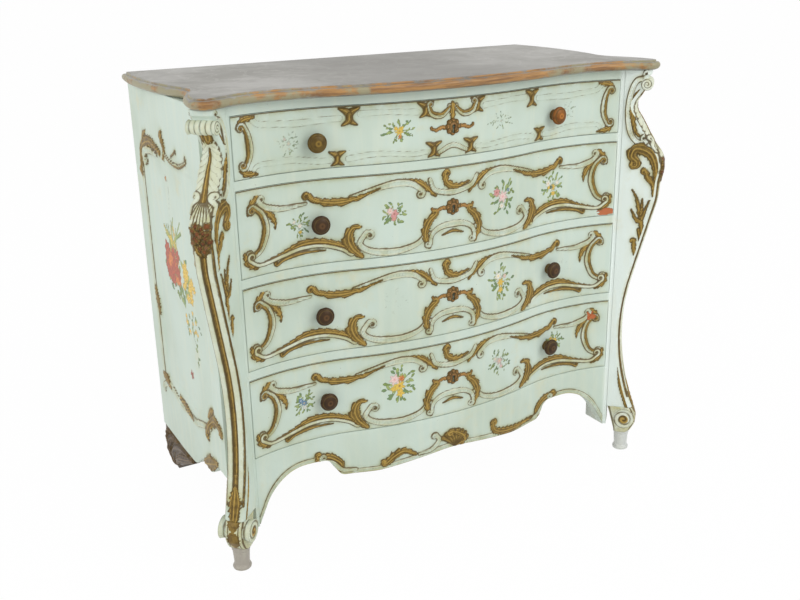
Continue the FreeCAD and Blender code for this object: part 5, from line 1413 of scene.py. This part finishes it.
def top_arcs():
    """Centres and radii of the arcs of the right half, from the back corner to the middle of the front."""
    sink = TOP_OVERHANG - HOLLOW_FRONT
    place = math.sqrt((TOP_BOW + TOP_HOLLOW) ** 2 - (TOP_BOW + TOP_HOLLOW - sink) ** 2)
    small = np.array([place, -HOLLOW_FRONT - TOP_SMALL_HOLLOW])
    ear_x = EAR_SIDE - EAR
    ear_y = small[1] + math.sqrt((EAR + TOP_SMALL_HOLLOW) ** 2 - (ear_x - place) ** 2)
    flank = np.array([EAR_SIDE - EAR_FLANK, ear_y])
    across, along = NOTCH[0] - flank[0], NOTCH[1] - ear_y
    notch_radius = (across ** 2 + along ** 2 - EAR_FLANK ** 2) / (2 * (EAR_FLANK - across))
    notch = np.array([NOTCH[0] + notch_radius, NOTCH[1]])
    across, along = notch[0] - TOP_SIDE[0], NOTCH[1] - TOP_SIDE[1]
    side_radius = (across ** 2 + along ** 2 - notch_radius ** 2) / (2 * (notch_radius - across))
    return [(np.array([TOP_SIDE[0] - side_radius, TOP_SIDE[1]]), side_radius), (notch, notch_radius),
            (flank, EAR_FLANK), (np.array([ear_x, ear_y]), EAR), (small, TOP_SMALL_HOLLOW),
            (np.array([place, -HOLLOW_FRONT - TOP_HOLLOW]), TOP_HOLLOW),
            (np.array([0, TOP_BOW - TOP_OVERHANG]), TOP_BOW)]


def arc_chain(circles, start, end, step):
    """Points along arcs that pass from circle to circle where neighbours touch."""
    stations = [start]
    for (centre, radius), (other, other_radius) in zip(circles, circles[1:]):
        way = other - centre
        length = np.linalg.norm(way)
        if length > max(radius, other_radius):
            stations.append(centre + way * radius / (radius + other_radius))
        elif radius > other_radius:
            stations.append(centre + way / length * radius)
        else:
            stations.append(other - way / length * other_radius)
    stations.append(end)
    points = []
    for (centre, radius), first, last in zip(circles, stations, stations[1:]):
        begin, stop = (math.atan2(*(place - centre)[::-1]) for place in (first, last))
        sweep = (stop - begin + math.pi) % (2 * math.pi) - math.pi
        angle = begin + sweep * np.linspace(0, 1, max(4, int(abs(sweep) * radius / step)), endpoint=False)
        points.append(centre + radius * np.stack([np.cos(angle), np.sin(angle)], 1))
    return np.concatenate(points)


def top_outline():
    """The closed outline, with no point near a back corner, where an inset would fold."""
    arcs = top_arcs()
    centre, radius = arcs[0]
    corner = np.array([centre[0] + math.sqrt(radius ** 2 - (TOP_BACK - centre[1]) ** 2), TOP_BACK])
    right = arc_chain(arcs, corner, np.array([0, -TOP_OVERHANG]), 4)
    right = np.concatenate([[corner], right[np.linalg.norm(right - corner, axis=1) > 17]])
    left = right[1:][::-1] * (-1, 1)
    back = np.stack([np.linspace(-corner[0], corner[0], 50)[:-1], np.full(49, TOP_BACK)], 1)
    return np.concatenate([right, [[0, -TOP_OVERHANG]], left, back])


# %% Moulded top
def mitred(loop):
    """Inward vectors at the points of a closed loop, longer at a corner so that its edges stay even."""
    edge = np.roll(loop, -1, axis=0) - loop
    edge /= np.linalg.norm(edge, axis=1)[:, None]
    normal = np.stack([-edge[:, 1], edge[:, 0]], 1)
    both = normal + np.roll(normal, 1, axis=0)
    both /= np.linalg.norm(both, axis=1)[:, None]
    miter = both / (both * normal).sum(1)[:, None]
    inward = np.sign(((loop.mean(0) - loop) * miter).sum())
    return miter * inward


TOP_PROFILE = smooth([(16, 0), (9.8, 0), (8.2, 0.3), (4.6, 1.9), (1.6, 4.6), (0.3, 8), (0.3, 10.8),
                      (1.3, 13.2), (3.6, 15.3), (6.4, 16), (8.1, 16.1), (8.8, 16.6), (9, 18), (9.6, 19.3),
                      (11.4, 19.9), (16, 19.9)], 1)
TOP_INSET = 0.03


def marble_paint():
    """Faux marble: grey clouds, grime, dark drifts and pale veins, rubbed to brown wood on the edge."""
    material, tree = new_material("faux_marble_top")
    clouds = ramp(tree, noise(tree, 6, 8, roughness=0.65), 0.34, 0.66)
    colour = mix(tree, clouds, (0.20, 0.19, 0.16), (0.36, 0.35, 0.32))
    place = node(tree, "ShaderNodeTexCoord").outputs["Object"]
    vein = node(tree, "ShaderNodeTexNoise", {"Vector": place, "Scale": 9.0, "Detail": 7.0, "Distortion": 1.6})
    from_vein = maths(tree, "ABSOLUTE", maths(tree, "SUBTRACT", vein.outputs["Fac"], 0.5), 0)
    veined = node(tree, "ShaderNodeMapRange", {"Value": from_vein, "From Min": 0.0, "From Max": 0.03,
                                               "To Min": 0.4, "To Max": 0.0}).outputs[0]
    colour = mix(tree, veined, colour, (0.47, 0.455, 0.42))
    across = node(tree, "ShaderNodeSeparateXYZ", {"Vector": place}).outputs["X"]
    far = maths(tree, "ABSOLUTE", across, 0)
    grime = maths(tree, "MULTIPLY", ramp(tree, far, 0.34, 0.1), ramp(tree, noise(tree, 4, 6), 0.25, 0.6))
    colour = mix(tree, maths(tree, "MULTIPLY", grime, 0.62), colour, (0.11, 0.10, 0.08))
    drifts = ramp(tree, noise(tree, 22, 8, roughness=0.7), 0.56, 0.72)
    colour = mix(tree, maths(tree, "MULTIPLY", drifts, 0.5), colour, (0.19, 0.17, 0.15))
    trim = node(tree, "ShaderNodeAttribute", attribute_name="trim")
    edge = node(tree, "ShaderNodeSeparateColor", {"Color": trim.outputs["Color"]}).outputs[0]
    wear_and_highlight = maths(tree, "ADD", edge, maths(tree, "MULTIPLY", noise(tree, 30, 6, roughness=0.7), 0.9))
    worn = ramp(tree, wear_and_highlight, 0.95, 1.12)
    tone = ramp(tree, noise(tree, 26, 6, (0.3, 1, 4), 0.7), 0.38, 0.62)
    bare = mix(tree, tone, (0.20, 0.10, 0.035), (0.44, 0.23, 0.07))
    dusty = maths(tree, "ADD", noise(tree, 9, 5, roughness=0.7), maths(tree, "MULTIPLY", far, 0.34))
    bare = mix(tree, ramp(tree, dusty, 0.56, 0.66), bare, (0.30, 0.27, 0.16))
    dress(tree, mix(tree, worn, colour, bare), 0.42, noise(tree, 70, 6), 0.15, 0.001)
    return material


def top_piece():
    """Rings of the edge moulding between two flat faces."""
    loop = top_outline()
    inward = mitred(loop)
    inset, rise = TOP_PROFILE[:, 0] + TOP_INSET, TOP_PROFILE[:, 1]
    plan = loop[None] + inset[:, None, None] * inward[None] + (0, FRONT)
    level = np.broadcast_to((UNDER_TOP + rise)[:, None, None], plan.shape[:2] + (1,))
    rings = np.concatenate([plan, level], -1)
    trim = np.zeros(rings.shape[:2] + (4,))
    trim[..., 0] = (0.78 - 0.05 * inset[:, None]).clip(0, 1) + 0.3 * (np.abs(inset[:, None] - 9.2) < 1.2)
    index = np.arange(rings.shape[0] * rings.shape[1]).reshape(rings.shape[:2])
    after = np.roll(index, -1, axis=1)
    sides = np.stack([index[:-1], after[:-1], after[1:], index[1:]], -1).reshape(-1, 4)
    paint = {"trim": trim.reshape(-1, 4)}
    top = make_piece("top_moulded", rings.reshape(-1, 3), sides, "case", marble_paint(), paint,
                     [index[0][::-1], index[-1]])
    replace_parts(top, "top_board")
    print("top has", len(loop), "points round its edge")


top_piece()

# %% [markdown]
# ## Studio
# A pale floor, a large soft lamp in front, a weaker one at the left and even light from all round keep
# colours close to the way they are written.  Camera rays see the surroundings as white.  Brighter lamps would
# make the floor white too, but they would bleach the paint.

# %% Floor, lamps and camera
def camera_share(tree, share):
    """A value that is the share for camera, glossy and transmission rays, and 0 for all others."""
    path = node(tree, "ShaderNodeLightPath").outputs
    seen = maths(tree, "MAXIMUM", path["Is Camera Ray"], path["Is Glossy Ray"])
    seen = maths(tree, "MAXIMUM", seen, path["Is Transmission Ray"])
    return maths(tree, "MULTIPLY", seen, share)


WORLD_LIGHT, FLOOR_GLOW, FLOOR_HALF = 0.58, 0.98, 40


def studio():
    """A floor that keeps a faint shadow, and a world that is white to the camera and softer as light."""
    material, tree = new_material("pale_floor")
    shader(tree).inputs["Base Color"].default_value = (0.94, 0.94, 0.94, 1)
    shader(tree).inputs["Roughness"].default_value = 1
    glow = node(tree, "ShaderNodeEmission", {"Strength": 1.0}).outputs[0]
    blend = node(tree, "ShaderNodeMixShader", {0: camera_share(tree, FLOOR_GLOW)})
    tree.links.new(shader(tree).outputs[0], blend.inputs[1])
    tree.links.new(glow, blend.inputs[2])
    tree.links.new(blend.outputs[0], tree.nodes["Material Output"].inputs["Surface"])
    mesh = bpy.data.meshes.new("floor")
    corners = [(FLOOR_HALF * x, FLOOR_HALF * y, 0) for x, y in ((-1, -1), (1, -1), (1, 1), (-1, 1))]
    mesh.from_pydata(corners, [], [(0, 1, 2, 3)])
    mesh.materials.append(material)
    floor = bpy.data.objects.new("floor", mesh)
    bpy.context.scene.collection.objects.link(floor)
    world = bpy.data.worlds.new("studio")
    bpy.context.scene.world = world
    world.use_nodes = True
    tree = world.node_tree
    strength = maths(tree, "ADD", camera_share(tree, 1 - WORLD_LIGHT), WORLD_LIGHT)
    tree.links.new(strength, tree.nodes["Background"].inputs["Strength"])
    tree.nodes["Background"].inputs["Color"].default_value = (1, 1, 1, 1)


def soft_lamp(name, place, aim, size, power):
    """An area lamp at a place, turned to its aim."""
    lamp = bpy.data.lights.new(name, "AREA")
    lamp.size, lamp.energy = size, power
    piece = bpy.data.objects.new(name, lamp)
    piece.location = place
    piece.rotation_euler = (Vector(aim) - Vector(place)).to_track_quat("-Z", "Y").to_euler()
    bpy.context.scene.collection.objects.link(piece)


CAMERA_PLACE = (-0.97879, -1.78577, 1.11001)
AZIMUTH, ELEVATION, ROLL = (math.radians(angle) for angle in (-28.78, 19.35, -1.12))
LENS, SENSOR = 44.01, 36


def set_camera():
    """The camera's axes from azimuth, elevation and roll."""
    back = np.array([math.sin(AZIMUTH) * math.cos(ELEVATION), -math.cos(AZIMUTH) * math.cos(ELEVATION),
                     math.sin(ELEVATION)])
    right = np.cross(-back, (0, 0, 1))
    right /= np.linalg.norm(right)
    up = np.cross(right, -back)
    turned_right = math.cos(ROLL) * right + math.sin(ROLL) * up
    turned_up = -math.sin(ROLL) * right + math.cos(ROLL) * up
    data = bpy.data.cameras.new("camera")
    data.lens, data.sensor_width = LENS, SENSOR
    camera = bpy.data.objects.new("camera", data)
    columns = np.eye(4)
    columns[:3, :3] = np.stack([turned_right, turned_up, back], 1)
    columns[:3, 3] = CAMERA_PLACE
    camera.matrix_world = Matrix(columns.tolist())
    bpy.context.scene.collection.objects.link(camera)
    bpy.context.scene.camera = camera


studio()
soft_lamp("key_lamp", (1.6, -3.2, 3.0), (0, 0, 0.5), size=2.6, power=75)
soft_lamp("side_lamp", (-3.6, -0.8, 2.2), (0, 0, 0.5), size=2.6, power=50)
set_camera()
bpy.context.scene.view_settings.view_transform = "Standard"
print("camera at", CAMERA_PLACE, "with a lens of", LENS, "mm")
